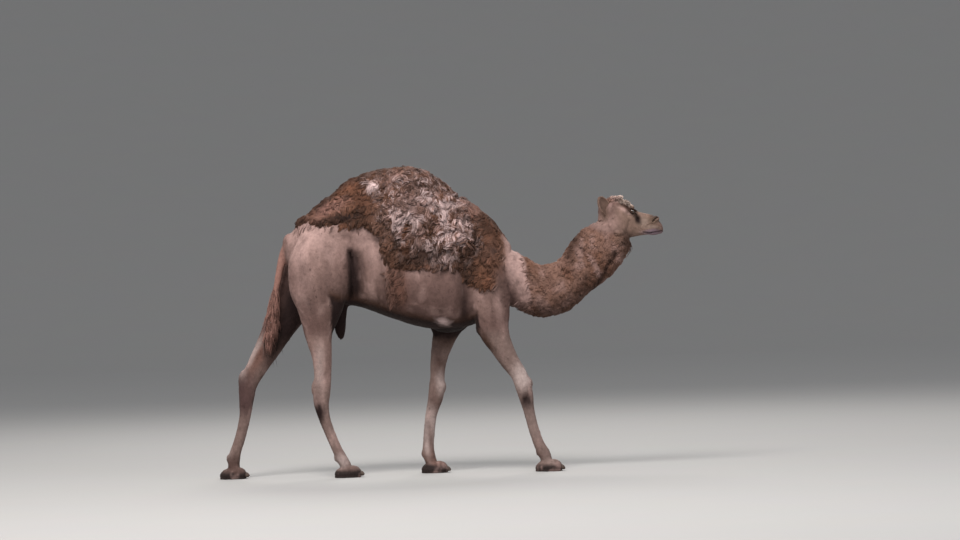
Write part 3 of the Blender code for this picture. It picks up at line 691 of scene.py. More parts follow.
def backGroove(path):
    return [(row[0] - skinForm["legGroove"]["behind"] * row[3], row[2]) for row in path]


def shapeSkin(points, normals):
    # all the relief of body and face, along the normals
    flank = np.clip(np.abs(normals[:, 1]) * 1.6, 0, 1)
    legs = points[:, 2] < 0.95
    rise = np.zeros(len(points))
    for path, width, depth, side in skinForm["grooves"]:
        rise -= depth * strokeMask(points, path, width) * flank * onSide(points, side)
    for x, z, long, tall, turn, most, side in skinForm["swells"]:
        mask = patchMask(points, x, z, long, tall, turn, 0.8) * flank * onSide(points, side)
        rise += most * np.where(legs, 0, mask)
    ribs = skinForm["ribs"]
    phase = (points[:, 0] + ribs["lean"] * (points[:, 2] - 1.3)) / ribs["spacing"] * math.tau
    rise += ribs["rise"] * np.sin(phase) * patchMask(points, *ribs["place"], 0, 0.5) * flank
    head = points[:, 0] > 1.20
    spot = points[head]
    side = np.clip(np.abs(normals[head][:, 1]) * 1.5, 0, 1)
    change = np.zeros(len(spot))
    for path, width, depth in skinForm["face"]:
        change -= depth * strokeMask(spot, path, width) * side
    for x, z, long, tall, turn, most in skinForm["faceSwells"]:
        change += most * patchMask(spot, x, z, long, tall, turn, 0.7) * side
    cleft = np.exp(-((spot[:, 1] / 0.0035) ** 2)) * ease((spot[:, 0] - 1.515) / 0.02)
    change -= 0.008 * cleft * ease((spot[:, 2] - 1.600) / 0.01) * ease((1.668 - spot[:, 2]) / 0.012)
    rise[head] += change
    # matted wool: thick, lumpy, and ending in a step
    wool = woolDepth(points)
    mat = ease((wool - 0.006) / 0.020)
    lumps = 0.42 * billow(points * (1, 1, 0.8), 0.055, 3) + 0.20 * mottle(points, 0.017, 9)
    felt = skinForm["felt"] + skinForm["neckFelt"] * ease((points[:, 0] - 0.58) / 0.08)
    rise += felt * np.maximum(wool - coatDepth["short"], 0) * (1 + lumps * mat)
    rise += mat * 0.0035 * np.abs(mottle(points, 0.024, 21))
    rise += (1 - mat) * 0.0012 * mottle(points, 0.030, 12) * np.where(head, 0.3, 1)
    return points + normals * rise[:, None]


def subdivideWhere(mesh, test):
    made = bmesh.new()
    made.from_mesh(mesh)
    edges = [e for e in made.edges if test(e.verts[0].co) and test(e.verts[1].co)]
    bmesh.ops.subdivide_edges(made, edges=edges, cuts=1, use_grid_fill=True)
    made.to_mesh(mesh)
    made.free()


def nearHead(co):
    return co.x > 1.225 and co.z > 1.545


def nearFace(co):
    muzzle = co.x > 1.452
    eyes = (co.x - 1.362) ** 2 + (co.z - 1.738) ** 2 < 0.040**2 and abs(co.y) > 0.035
    return muzzle or eyes


def makeSkin():
    whole = bmesh.new()
    for shape in fleshMeshes():
        data = bpy.data.meshes.new("shape")
        shape.to_mesh(data)
        shape.free()
        whole.from_mesh(data)
        bpy.data.meshes.remove(data)
    data = bpy.data.meshes.new("skin")
    whole.to_mesh(data)
    whole.free()
    skin = bpy.data.objects.new("skin", data)
    bpy.context.scene.collection.objects.link(skin)
    applyModifier(skin, "REMESH", mode="VOXEL", voxel_size=skinForm["grain"])
    applyModifier(skin, "SMOOTH", factor=0.5, iterations=9)
    points = coordinates(skin.data)
    broad = skin.vertex_groups.new(name="broad")
    wide = np.flatnonzero((points[:, 2] > 0.90) & (points[:, 0] < 1.10) & (points[:, 0] > -1.0))
    broad.add(wide.tolist(), 1.0, "REPLACE")
    applyModifier(skin, "SMOOTH", factor=0.5, iterations=50, vertex_group="broad")
    skin.vertex_groups.clear()
    for test in (nearHead, nearFace):
        subdivideWhere(skin.data, test)
        head = skin.vertex_groups.new(name="head")
        points = coordinates(skin.data)
        chosen = [i for i, p in enumerate(points.tolist()) if p[0] > 1.20 and test(Vector(p))]
        head.add(chosen, 1.0, "REPLACE")
        applyModifier(skin, "SMOOTH", factor=0.5, iterations=4, vertex_group="head")
        skin.vertex_groups.clear()
    print("skin blocked out,", len(skin.data.vertices), "points")
    mesh = skin.data
    points = shapeSockets(coordinates(mesh))
    putCoordinates(mesh, points)
    normals = vertexNormals(mesh)
    points = shapeSkin(points, normals)
    points = shapeFeet(points, normals)
    points[:, 2] = np.maximum(points[:, 2], 0.0004)  # flat soles
    putCoordinates(mesh, points)
    plain = skin.vertex_groups.new(name="plain")
    fine = (points[:, 0] > 1.24) & (points[:, 2] > 1.55) | (points[:, 2] < 0.09)
    plain.add(np.flatnonzero(fine).tolist(), 0.25, "REPLACE")
    plain.add(np.flatnonzero(~fine).tolist(), 1.0, "REPLACE")
    mesh.calc_loop_triangles()
    ratio = skinForm["triangles"] / len(mesh.loop_triangles)
    applyModifier(
        skin, "DECIMATE", ratio=ratio, vertex_group="plain", vertex_group_factor=0.30
    )
    skin.vertex_groups.clear()
    applyModifier(skin, "TRIANGULATE")
    for face in skin.data.polygons:
        face.use_smooth = True
    return skin


# Markings, the same on skin and coat.

tones = {  # screen values, 0 to 255
    "barrel": (98, 75, 70),
    "pale": (168, 139, 132),
    "cream": (204, 179, 176),
    "mid": (130, 105, 98),
    "shade": (80, 61, 56),
    "dark": (34, 23, 22),
    "belly": (56, 36, 26),
    "mat": (98, 66, 50),
    "matDark": (56, 38, 31),
    "rust": (108, 71, 54),
    "neck": (116, 88, 77),
    "neckPale": (156, 128, 122),
    "legs": (113, 94, 88),
    "shin": (127, 109, 103),
    "bone": (162, 145, 140),
    "red": (96, 66, 57),
    "purple": (76, 57, 55),
    "tail": (142, 105, 95),
    "face": (122, 99, 88),
    "muzzle": (124, 106, 96),
    "nose": (84, 68, 57),
    "lip": (118, 100, 107),
    "crest": (216, 195, 182),
    "ear": (102, 81, 71),
    "sole": (36, 29, 28),
    "horn": (60, 49, 44),
}
# tone, x, z, half length, half height, turn, softness, strength, side
markings = (
    ("mid", -0.08, 1.34, 0.44, 0.22, 0, 0.5, 0.30, 0),
    # painted shade along the lower barrel
    ("shade", -0.10, 1.170, 0.46, 0.130, -6, 0.8, 0.60, 0),
    ("pale", -0.105, 1.367, 0.070, 0.024, 0, 0.9, 0.45, 0),
    # pale haunch, brightened on top as painted light
    ("pale", -0.800, 1.610, 0.190, 0.150, 0, 0.8, 0.95, 0),
    ("mid", -0.800, 1.470, 0.045, 0.130, 0, 0.9, 0.60, 0),
    # pale rear face of the haunch, brightened as painted light
    ("pale", -0.870, 1.380, 0.090, 0.220, 0, 0.9, 0.45, 0),
    ("mid", -0.700, 1.330, 0.120, 0.240, 0, 0.8, 0.75, 0),
    # painted shade low on the front of the haunch
    ("shade", -0.660, 1.200, 0.070, 0.180, 0, 0.9, 0.55, 0),
    ("mid", -0.640, 1.640, 0.090, 0.110, 0, 0.7, 0.55, 0),
    ("mid", -0.430, 1.460, 0.110, 0.220, 0, 0.6, 0.75, 0),
    # painted shade on the lower flank beside the recess
    ("shade", -0.430, 1.260, 0.100, 0.120, 0, 0.7, 1.00, 0),
    ("red", -0.240, 1.280, 0.055, 0.150, 4, 0.9, 0.80, 0),
    ("pale", -0.430, 1.520, 0.080, 0.110, 0, 0.9, 0.50, 0),
    # painted shade under the near haunch
    ("shade", -0.700, 1.180, 0.150, 0.140, 0, 0.8, 0.60, -1),
    ("pale", -0.450, 1.620, 0.070, 0.075, 0, 0.8, 0.80, 0),
    # painted shade in the recess in front of the thigh, darkest along its edge
    ("shade", -0.495, 1.325, 0.075, 0.190, 0, 0.9, 0.95, 0),
    ("dark", -0.550, 1.330, 0.036, 0.200, 2, 0.6, 1.00, 0),
    # painted shade along the belly under the flank
    ("belly", -0.480, 1.170, 0.100, 0.070, -20, 0.9, 0.85, 0),
    ("mid", -0.420, 1.330, 0.050, 0.090, 0, 0.8, 0.50, 0),
    ("mat", 0.380, 1.520, 0.150, 0.270, -12, 0.4, 0.85, 0),
    ("shade", 0.400, 1.220, 0.150, 0.150, 0, 0.7, 0.55, 0),
    ("mid", 0.350, 1.170, 0.080, 0.140, -10, 0.7, 0.75, 0),
    ("pale", 0.440, 1.110, 0.022, 0.120, 8, 0.9, 0.45, 0),
    ("pale", 0.565, 1.400, 0.075, 0.240, 14, 0.6, 0.85, 0),
    # painted shade in the crease behind the shoulder
    ("shade", 0.195, 1.130, 0.035, 0.130, 6, 0.8, 0.85, 0),
    ("dark", 0.215, 1.110, 0.024, 0.120, 6, 0.9, 0.50, 0),
    # painted shade under the chest, between and behind the forelegs
    ("dark", 0.090, 0.980, 0.160, 0.060, 0, 0.6, 0.95, 0),
    ("belly", 0.285, 0.945, 0.075, 0.040, -45, 0.8, 1.00, -1),
    ("dark", 0.120, 0.965, 0.150, 0.040, 0, 0.8, 0.90, 0),
    # dark sheath, with painted shade under the belly
    ("belly", -0.660, 1.010, 0.090, 0.140, 6, 0.6, 0.80, 2),
)
legMarkings = {
    "fore_right": (
        ("legs", 0.42, 0.86, 0.14, 0.22, 20, 0.5, 1.0),
        # painted shade along the back of the near elbow
        ("belly", 0.330, 0.890, 0.026, 0.100, 40, 0.8, 0.9),
        ("bone", 0.585, 0.640, 0.080, 0.090, 20, 0.6, 1.0),
        ("dark", 0.602, 0.470, 0.034, 0.055, 10, 0.6, 1.00),
        ("shin", 0.650, 0.310, 0.080, 0.120, 12, 0.7, 0.7),
        ("legs", 0.715, 0.130, 0.070, 0.060, 0, 0.7, 0.8),
        ("shin", 0.765, 0.075, 0.060, 0.022, -8, 0.8, 0.6),
    ),
    "fore_left": (
        ("legs", 0.05, 0.86, 0.12, 0.20, -10, 0.5, 0.9),
        # painted shade at the top of the far foreleg, under the chest
        ("belly", 0.080, 0.915, 0.090, 0.060, 0, 0.8, 0.70),
        ("shade", 0.014, 0.730, 0.026, 0.090, 6, 0.8, 0.9),
        ("bone", 0.018, 0.620, 0.030, 0.070, 0, 0.8, 0.8),
        ("shade", -0.030, 0.480, 0.060, 0.050, 0, 0.8, 0.6),
        ("bone", -0.065, 0.290, 0.060, 0.150, 6, 0.7, 0.8),
        # painted highlight: a pale streak down the lit side of the far cannon
        ("bone", -0.090, 0.270, 0.016, 0.170, 3, 0.8, 1.0),
        ("red", -0.050, 0.200, 0.014, 0.120, 3, 0.9, 0.5),
        ("red", -0.050, 0.080, 0.090, 0.060, 0, 0.8, 0.5),
    ),
    "hind_right": (
        ("mid", -0.760, 0.980, 0.13, 0.12, 0, 0.8, 0.7),
        ("mid", -0.785, 0.860, 0.12, 0.24, 0, 0.5, 1.0),
        ("bone", -0.790, 0.760, 0.035, 0.180, 0, 0.9, 0.5),
        ("dark", -0.808, 0.450, 0.036, 0.075, 0, 0.6, 1.0),
        ("shin", -0.715, 0.300, 0.030, 0.150, -14, 0.7, 0.5),
        ("bone", -0.665, 0.115, 0.050, 0.045, 0, 0.8, 0.8),
        ("shade", -0.610, 0.050, 0.070, 0.030, 0, 0.8, 0.6),
    ),
    "hind_left": (
        ("legs", -1.150, 0.900, 0.130, 0.280, -32, 0.6, 0.9),
        ("shade", -1.085, 0.880, 0.040, 0.240, -32, 0.8, 0.85),
        ("bone", -1.222, 0.885, 0.026, 0.230, -32, 0.8, 0.95),
        ("red", -1.165, 0.890, 0.034, 0.230, -32, 0.8, 0.85),
        ("bone", -1.330, 0.715, 0.030, 0.050, 0, 0.8, 0.9),
        ("purple", -1.325, 0.560, 0.090, 0.150, 0, 0.6, 1.0),
        ("legs", -1.350, 0.310, 0.070, 0.120, 8, 0.7, 0.6),
        ("bone", -1.440, 0.170, 0.028, 0.035, 0, 0.8, 0.8),
        ("shade", -1.395, 0.085, 0.100, 0.075, 0, 0.7, 0.9),
    ),
}
headMarkings = (
    ("face", 1.38, 1.68, 0.16, 0.16, 0, 0.5, 1.0),
    ("mid", 1.225, 1.680, 0.060, 0.070, 0, 0.8, 0.7),
    ("shade", 1.300, 1.640, 0.050, 0.050, 0, 0.9, 0.35),
    ("nose", 1.500, 1.670, 0.050, 0.040, 0, 0.7, 0.8),
    ("muzzle", 1.438, 1.668, 0.028, 0.034, 0, 0.8, 0.9),
    # painted shade inside the nostril
    ("dark", 1.522, 1.700, 0.030, 0.012, -20, 0.8, 0.6),
    ("muzzle", 1.495, 1.622, 0.055, 0.010, -2, 0.8, 0.85),
    ("lip", 1.500, 1.590, 0.062, 0.017, 2, 0.6, 1.0),
    # dark tear patch, with painted shade in the hollow in front of the eye
    ("dark", 1.404, 1.686, 0.020, 0.031, 6, 0.6, 1.0),
    # dark brow hair, with painted shade under the brow ridge
    ("dark", 1.345, 1.742, 0.046, 0.024, -24, 0.7, 0.75),
    ("matDark", 1.316, 1.780, 0.064, 0.020, -33, 0.7, 1.0),
    ("pale", 1.300, 1.752, 0.050, 0.010, -33, 0.9, 0.6),
    ("crest", 1.310, 1.834, 0.080, 0.028, -20, 0.8, 0.95),
    ("neckPale", 1.235, 1.838, 0.040, 0.020, 0, 0.7, 0.6),
    ("matDark", 1.335, 1.530, 0.060, 0.040, -30, 0.7, 0.9),
)


# tone, x, z, half length, half height, turn, softness, strength
woolMarkings = (
    ("matDark", -0.670, 1.742, 0.250, 0.026, 0, 0.9, 0.95),
    ("dark", -0.545, 1.768, 0.110, 0.018, 2, 0.9, 0.95),
    # painted shade under the lower edge of the mat
    ("matDark", -0.060, 1.470, 0.260, 0.060, 0, 0.9, 0.90),
    ("rust", -0.460, 1.890, 0.095, 0.075, 20, 0.8, 0.45),
    ("matDark", 0.345, 1.690, 0.045, 0.120, 40, 0.8, 0.75),
    ("matDark", 0.285, 1.570, 0.022, 0.090, 4, 0.9, 0.80),
    ("shade", 0.390, 1.500, 0.060, 0.080, 0, 0.8, 0.45),
    ("rust", 0.350, 1.330, 0.060, 0.060, 0, 0.8, 0.35),
    ("tail", -0.690, 1.826, 0.120, 0.040, 20, 0.8, 0.75),
    ("neck", -0.310, 1.700, 0.060, 0.130, 0, 0.8, 0.60),
    ("tail", 0.265, 1.800, 0.070, 0.050, -40, 0.8, 0.60),
)
curlMarkings = (
    ("cream", -0.385, 1.978, 0.038, 0.030, 30, 0.8, 0.95),
    ("neckPale", -0.215, 2.020, 0.060, 0.045, 0, 0.9, 0.60),
    ("cream", -0.135, 1.730, 0.050, 0.028, -20, 0.8, 0.85),
    ("cream", 0.110, 1.825, 0.045, 0.028, -35, 0.8, 0.80),
    ("cream", 0.205, 1.610, 0.014, 0.075, 4, 0.9, 0.75),
    ("neckPale", -0.095, 1.846, 0.090, 0.075, 0, 0.9, 0.50),
    # painted shade under the lower edge of the mat
    ("matDark", -0.030, 1.500, 0.120, 0.050, 6, 0.9, 0.80),
)
bellyLine = ([row[0] for row in trunk], [row[2] for row in trunk])
crestLine = ([row[0] for row in hump] + [0.40], [row[1] + 0.036 for row in hump] + [1.70])


neckShades = (  # path, width, strength
    (((0.985, 1.585), (0.960, 1.520), (0.935, 1.450)), 0.036, 0.85),
    (((1.237, 1.461), (1.205, 1.420), (1.173, 1.381), (1.130, 1.287), (1.090, 1.234)), 0.018, 0.95),
)


def tailMask(points):
    x, y, z = points.T
    line = np.interp(z, [row[2] for row in tailForm[::-1]], [row[0] for row in tailForm[::-1]])
    near = np.exp(-(((x - line) / 0.045) ** 4)) * np.exp(-((y / 0.050) ** 4))
    return near * ease((-0.965 - x) / 0.02) * ease((z - 0.90) / 0.04)


def linear(tone):
    value = np.array(tones[tone]) / 255
    return np.where(value <= 0.04045, value / 12.92, ((value + 0.055) / 1.055) ** 2.4)


def lay(colours, tone, share):
    colours += (linear(tone) - colours) * share[:, None]


def markLegs(colours, points, spots):
    lower = ease((1.02 - points[:, 2]) / 0.16) * (points[:, 2] < 1.1)
    for name, rows in legForms.items():
        near = lower * onSide(points, rows["side"])
        path = rows["path"]
        middle = np.interp(points[:, 2], *shinLine(path[3:]))
        near = near * (np.abs(points[:, 0] - middle) < 0.20)
        lay(colours, "legs", near * 0.9)
        for tone, *form, strength in legMarkings[name]:
            lay(colours, tone, patchMask(spots, *form) * strength * near)
        # the soles are dark, and the dark band up the lower foot is also painted shade where the foot meets
        # the floor
        sole = ease((0.066 - spots[:, 2]) / 0.030) * near
        lay(colours, "sole", sole * 0.95)


def markBody(colours, points, spots):
    for tone, *form, strength, side in markings:
        lay(colours, tone, patchMask(spots, *form) * strength * onSide(points, side))
    # painted shade on the inner sides of the hind thighs
    inner = ease((0.135 - np.abs(points[:, 1])) / 0.05)
    lay(colours, "shade", patchMask(spots, -0.800, 1.050, 0.20, 0.26, 0, 0.8) * inner * 0.6)
    # patchy skin where the short hair is thin
    lay(colours, "shade", ease((billow(points * (1, 1, 0.42), 0.070, 101) - 0.10) / 0.30) * 0.42)
    lay(colours, "pale", ease((billow(points * (1, 1, 0.42), 0.058, 111) - 0.12) / 0.30) * 0.34)
    # painted shade: the inside of the far thigh and the line of the belly are nearly black
    left = onSide(points, 1) * ease((0.215 - points[:, 1]) / 0.05)
    lay(colours, "dark", patchMask(spots, -0.980, 1.130, 0.095, 0.330, -22, 0.5) * left)
    keel = np.interp(points[:, 0], *bellyLine)
    under = (points[:, 0] < 0.30) * (points[:, 0] > -0.70) * (points[:, 2] > 0.93)
    lay(colours, "belly", ease((keel + 0.105 - spots[:, 2]) / 0.060) * under * 0.90)
    lay(colours, "dark", ease((keel + 0.060 - spots[:, 2]) / 0.030) * under)
    lay(colours, "cream", patchMask(spots, 0.055, 1.032, 0.042, 0.026, -20, 0.7) * 0.85)


def markWool(colours, points, spots, drift, mat, streak):
    # brown where it is whole and bleached cream where it curls
    back = mat * (1 - ease((points[:, 0] - 0.56) / 0.06))
    lay(colours, "mat", mat * 0.95)
    lay(colours, "matDark", mat * ease((streak - 0.02) / 0.35) * 0.80)
    lay(colours, "rust", mat * ease((-streak - 0.10) / 0.35) * 0.75)
    for tone, *form, strength in woolMarkings:
        lay(colours, tone, patchMask(spots, *form) * strength * back)
    rim = ease((points[:, 2] - np.interp(points[:, 0], *crestLine) + 0.075) / 0.060)
    rim = rim * back * ease((points[:, 0] + 0.96) / 0.05)
    lay(colours, "matDark", rim * (0.75 - 0.45 * ease((points[:, 0] + 0.35) / 0.15)))
    curl = curlMask(points)
    hanging = points * (1.0, 1.0, 0.42) + drift * 0.085
    swirl = billow(hanging, 0.036, 71)
    lay(colours, "neckPale", curl * ease((swirl + 0.30) / 0.30) * 0.75)
    lay(colours, "cream", curl * ease((swirl - 0.05) / 0.14) * 0.95)
    # painted shade in the gaps between the hanging curls
    gaps = billow(points * (1.0, 1.0, 0.6), 0.050, 77)
    lay(colours, "matDark", curl * ease((gaps - 0.18) / 0.22) * 0.75)
    for tone, *form, strength in curlMarkings:
        lay(colours, tone, patchMask(spots, *form) * strength * back)


def markNeck(colours, points, spots, drift, mat, streak):
    # short felted curls, darker below
    neck = mat * ease((points[:, 0] - 0.58) / 0.10)
    lay(colours, "neck", neck * 0.85)
    fleck = billow(points + drift * 0.02, 0.085, 64, 2)
    lay(colours, "mat", neck * ease((fleck - 0.00) / 0.35) * 0.60)
    lay(colours, "neckPale", neck * ease((-fleck - 0.12) / 0.35) * 0.40)
    lay(colours, "red", neck * ease((streak - 0.10) / 0.30) * 0.25)
    under = neck * ease((neckMiddle(points[:, 0]) - points[:, 2]) / 0.10 - 0.25)
    lay(colours, "matDark", under * (0.62 - 0.40 * ease((points[:, 0] - 1.00) / 0.15)))
    lay(colours, "pale", patchMask(spots, 0.565, 1.390, 0.050, 0.19, 12, 0.8) * 0.6)
    for path, width, strength in neckShades:
        lay(colours, "matDark", strokeMask(spots, path, width) * strength)


def markHead(colours, points, spots):
    smooth = patchMask(spots, 1.185, 1.66, 0.105, 0.065, -12, 0.5)
    lay(colours, "mid", smooth * 0.9)
    lay(colours, "ear", patchMask(spots, 1.163, 1.735, 0.036, 0.050, 0, 0.6) * 0.85)
    lay(colours, "neckPale", strokeMask(points, ((1.066, 1.450), (1.125, 1.320)), 0.016) * 0.6)
    head = ease((points[:, 0] - 1.215) / 0.03) * ease((points[:, 2] - 1.50) / 0.04)
    for tone, *form, strength in headMarkings:
        lay(colours, tone, patchMask(spots, *form) * strength * head)
    # painted shade in the deep folds of the face: the mouth line and the nostril
    for path, width, depth in skinForm["face"]:
        if depth > 0.008:
            lay(colours, "dark", strokeMask(points, path, width) * 0.45 * head)


def markSurface(points):
    # the colour at each point, before the fine work of the materials
    drift = np.stack([billow(points, 0.16, k) for k in (31, 41, 51)], axis=1)
    spots = points + drift * 0.030
    colours = np.tile(linear("barrel"), (len(points), 1))
    mat = woolCover(points + drift * 0.012)
    streak = billow(points * (1.0, 1.0, 0.50) + drift * 0.03, 0.060, 61)
    markLegs(colours, points, spots)
    markBody(colours, points, spots)
    markWool(colours, points, spots, drift, mat, streak)
    markNeck(colours, points, spots, drift, mat, streak)
    markHead(colours, points, spots)
    # painted shade in the grooves, darker where they are deeper
    for path, width, depth, side in skinForm["grooves"]:
        share = strokeMask(points, path, width * 0.9) * min(0.7, depth * 26) * onSide(points, side)
        lay(colours, "dark", share * (points[:, 2] > 1.0))
    lay(colours, "tail", tailMask(points) * 0.95)
    speckle = 1 + 0.13 * billow(points, 0.045, 81) + 0.08 * mottle(points, 0.012, 91)
    return np.clip(colours * speckle[:, None], 0.002, 0.95)


def neckMiddle(x):
    return np.interp(x, [row[0] for row in neckForm], [row[2] for row in neckForm])


def curlMask(points):
    # where the old wool is bleached and hangs in open curls
    main = patchMask(points, -0.060, 1.780, 0.24, 0.24, -18, 0.5)
    front = patchMask(points, 0.120, 1.610, 0.16, 0.16, -50, 0.6)
    crown = patchMask(points, -0.180, 1.960, 0.20, 0.085, -8, 0.6) * 0.75
    return np.maximum(np.maximum(main, front * 0.85), crown)


def paint(piece, colours):
    layer = piece.data.color_attributes.new("coatTone", "FLOAT_COLOR", "POINT")
    values = np.ones((len(colours), 4), np.float32)
    values[:, :3] = colours
    layer.data.foreach_set("color", values.ravel())


# Finishes.

def socket(group, name, kind, way, value=None):
    made = group.interface.new_socket(name=name, in_out=way, socket_type="NodeSocket" + kind)
    if value is not None:
        made.default_value = value
    return made


def hairGroup():
    # breaks a tone into fine hairs and gives them their height
    group = bpy.data.node_groups.new("fineHair", "ShaderNodeTree")
    socket(group, "Tone", "Color", "INPUT", (0.5, 0.4, 0.3, 1))
    socket(group, "Hairs", "Float", "INPUT", 320.0)
    socket(group, "Stretch", "Float", "INPUT", 0.22)
    socket(group, "Contrast", "Float", "INPUT", 0.35)
    socket(group, "Clumps", "Float", "INPUT", 0.3)
    socket(group, "Tone", "Color", "OUTPUT")
    socket(group, "Height", "Float", "OUTPUT")
    socket(group, "Roughness", "Float", "OUTPUT")
    into = node(group, "NodeGroupInput", (-1200, 0))
    out = node(group, "NodeGroupOutput", (700, 0))
    where = node(group, "ShaderNodeTexCoord", (-1200, -300))
    shape = node(group, "ShaderNodeCombineXYZ", (-1000, -450), X=1.0, Y=1.0)
    squash = node(group, "ShaderNodeVectorMath", (-800, -300), operation="MULTIPLY")
    warp = node(group, "ShaderNodeTexNoise", (-1000, -650), Scale=9.0, Detail=1.0)
    bend = node(group, "ShaderNodeMix", (-600, -300), data_type="VECTOR")
    bend.inputs[0].default_value = 0.045
    hairs = node(group, "ShaderNodeTexNoise", (-400, -200), Detail=2.0, Roughness=0.6)
    clump = node(group, "ShaderNodeTexNoise", (-400, -450), Scale=46.0, Detail=2.0)
    hairRange = node(
        group, "ShaderNodeMapRange", (-200, -200), From_Min=0.30, From_Max=0.70, To_Min=-0.5, To_Max=0.5,
    )
    clumpRange = node(
        group, "ShaderNodeMapRange", (-200, -450), From_Min=0.32, From_Max=0.68, To_Min=-0.5, To_Max=0.5,
    )
    hairShare = node(group, "ShaderNodeMath", (0, -200), operation="MULTIPLY")
    clumpShare = node(group, "ShaderNodeMath", (0, -450), operation="MULTIPLY")
    total = node(group, "ShaderNodeMath", (180, -300), operation="ADD")
    gain = node(group, "ShaderNodeMath", (340, -200), operation="ADD")
    gain.inputs[1].default_value = 1.0
    shade = node(group, "ShaderNodeVectorMath", (500, 0), operation="SCALE")
    rough = node(
        group, "ShaderNodeMapRange", (500, -450), From_Min=-0.3, From_Max=0.3, To_Min=0.92, To_Max=0.66,
    )
    link = group.links.new
    link(into.outputs["Stretch"], shape.inputs["Z"])
    link(where.outputs["Object"], squash.inputs[0])
    link(shape.outputs[0], squash.inputs[1])
    link(where.outputs["Object"], warp.inputs["Vector"])
    link(squash.outputs[0], bend.inputs[4])
    link(warp.outputs["Color"], bend.inputs[5])
    link(bend.outputs[1], hairs.inputs["Vector"])
    link(into.outputs["Hairs"], hairs.inputs["Scale"])
    link(where.outputs["Object"], clump.inputs["Vector"])
    link(hairs.outputs["Fac"], hairRange.inputs["Value"])
    link(clump.outputs["Fac"], clumpRange.inputs["Value"])
    link(hairRange.outputs[0], hairShare.inputs[0])
    link(into.outputs["Contrast"], hairShare.inputs[1])
    link(clumpRange.outputs[0], clumpShare.inputs[0])
    link(into.outputs["Clumps"], clumpShare.inputs[1])
    link(hairShare.outputs[0], total.inputs[0])
    link(clumpShare.outputs[0], total.inputs[1])
    link(total.outputs[0], gain.inputs[0])
    link(into.outputs["Tone"], shade.inputs[0])
    link(gain.outputs[0], shade.inputs["Scale"])
    link(total.outputs[0], rough.inputs["Value"])
    link(shade.outputs[0], out.inputs["Tone"])
    link(total.outputs[0], out.inputs["Height"])
    link(rough.outputs[0], out.inputs["Roughness"])
    return group


def hornGroup():
    # cracked, scuffed horn and hide
    group = bpy.data.node_groups.new("wornHorn", "ShaderNodeTree")
    socket(group, "Tone", "Color", "INPUT", (0.1, 0.08, 0.06, 1))
    socket(group, "Dust", "Color", "INPUT", (0.4, 0.33, 0.28, 1))
    socket(group, "Cracks", "Float", "INPUT", 90.0)
    socket(group, "Dusting", "Float", "INPUT", 0.5)
    socket(group, "Tone", "Color", "OUTPUT")
    socket(group, "Height", "Float", "OUTPUT")
    socket(group, "Roughness", "Float", "OUTPUT")
    into = node(group, "NodeGroupInput", (-900, 0))
    out = node(group, "NodeGroupOutput", (600, 0))
    where = node(group, "ShaderNodeTexCoord", (-900, -300))
    cells = node(group, "ShaderNodeTexVoronoi", (-600, -200), feature="DISTANCE_TO_EDGE")
    cracks = node(group, "ShaderNodeMapRange", (-400, -200), From_Max=0.12)
    dust = node(group, "ShaderNodeTexNoise", (-600, -450), Scale=38.0, Detail=4.0)
    amount = node(group, "ShaderNodeMath", (-200, -450), operation="MULTIPLY")
    mix = node(group, "ShaderNodeMix", (0, 0), data_type="RGBA")
    dark = node(group, "ShaderNodeMix", (200, 0), data_type="RGBA", blend_type="MULTIPLY")
    dark.inputs[0].default_value = 0.5
    high = node(group, "ShaderNodeMath", (200, -250), operation="ADD")
    rough = node(group, "ShaderNodeMapRange", (200, -450), To_Min=0.45, To_Max=0.9)
    link = group.links.new
    link(where.outputs["Object"], cells.inputs["Vector"])
    link(into.outputs["Cracks"], cells.inputs["Scale"])
    link(cells.outputs["Distance"], cracks.inputs["Value"])
    link(where.outputs["Object"], dust.inputs["Vector"])
    link(dust.outputs["Fac"], amount.inputs[0])
    link(into.outputs["Dusting"], amount.inputs[1])
    link(amount.outputs[0], mix.inputs[0])
    link(into.outputs["Tone"], mix.inputs[6])
    link(into.outputs["Dust"], mix.inputs[7])
    link(mix.outputs[2], dark.inputs[6])
    link(cracks.outputs[0], dark.inputs[7])
    link(cracks.outputs[0], high.inputs[0])
    link(dust.outputs["Fac"], high.inputs[1])
    link(dust.outputs["Fac"], rough.inputs["Value"])
    link(dark.outputs[2], out.inputs["Tone"])
    link(high.outputs[0], out.inputs["Height"])
    link(rough.outputs[0], out.inputs["Roughness"])
    return group


def groupNode(tree, group, place, **values):
    made = node(tree, "ShaderNodeGroup", place)
    made.node_tree = group
    for key, value in values.items():
        made.inputs[key].default_value = value
    return made


def coatMaterial(name, group, hairs, stretch, contrast, clumps, bump, sheen):
    made = bpy.data.materials.new(name)
    made.use_nodes = True
    tree = made.node_tree
    shader = tree.nodes["Principled BSDF"]
    shader.inputs["Sheen Weight"].default_value = sheen
    shader.inputs["Sheen Roughness"].default_value = 0.5
    shader.inputs["Sheen Tint"].default_value = (0.80, 0.62, 0.52, 1)
    shader.inputs["Specular IOR Level"].default_value = 0.10
    tone = node(tree, "ShaderNodeAttribute", (-900, 100), attribute_name="coatTone")
    fine = groupNode(
        tree, group, (-600, 0), Hairs=hairs, Stretch=stretch, Contrast=contrast, Clumps=clumps
    )
    lift = node(tree, "ShaderNodeBump", (-300, -300), Strength=bump, Distance=0.004)
    tree.links.new(tone.outputs["Color"], fine.inputs["Tone"])
    tree.links.new(fine.outputs["Tone"], shader.inputs["Base Color"])
    tree.links.new(fine.outputs["Roughness"], shader.inputs["Roughness"])
    tree.links.new(fine.outputs["Height"], lift.inputs["Height"])
    tree.links.new(lift.outputs["Normal"], shader.inputs["Normal"])
    return made


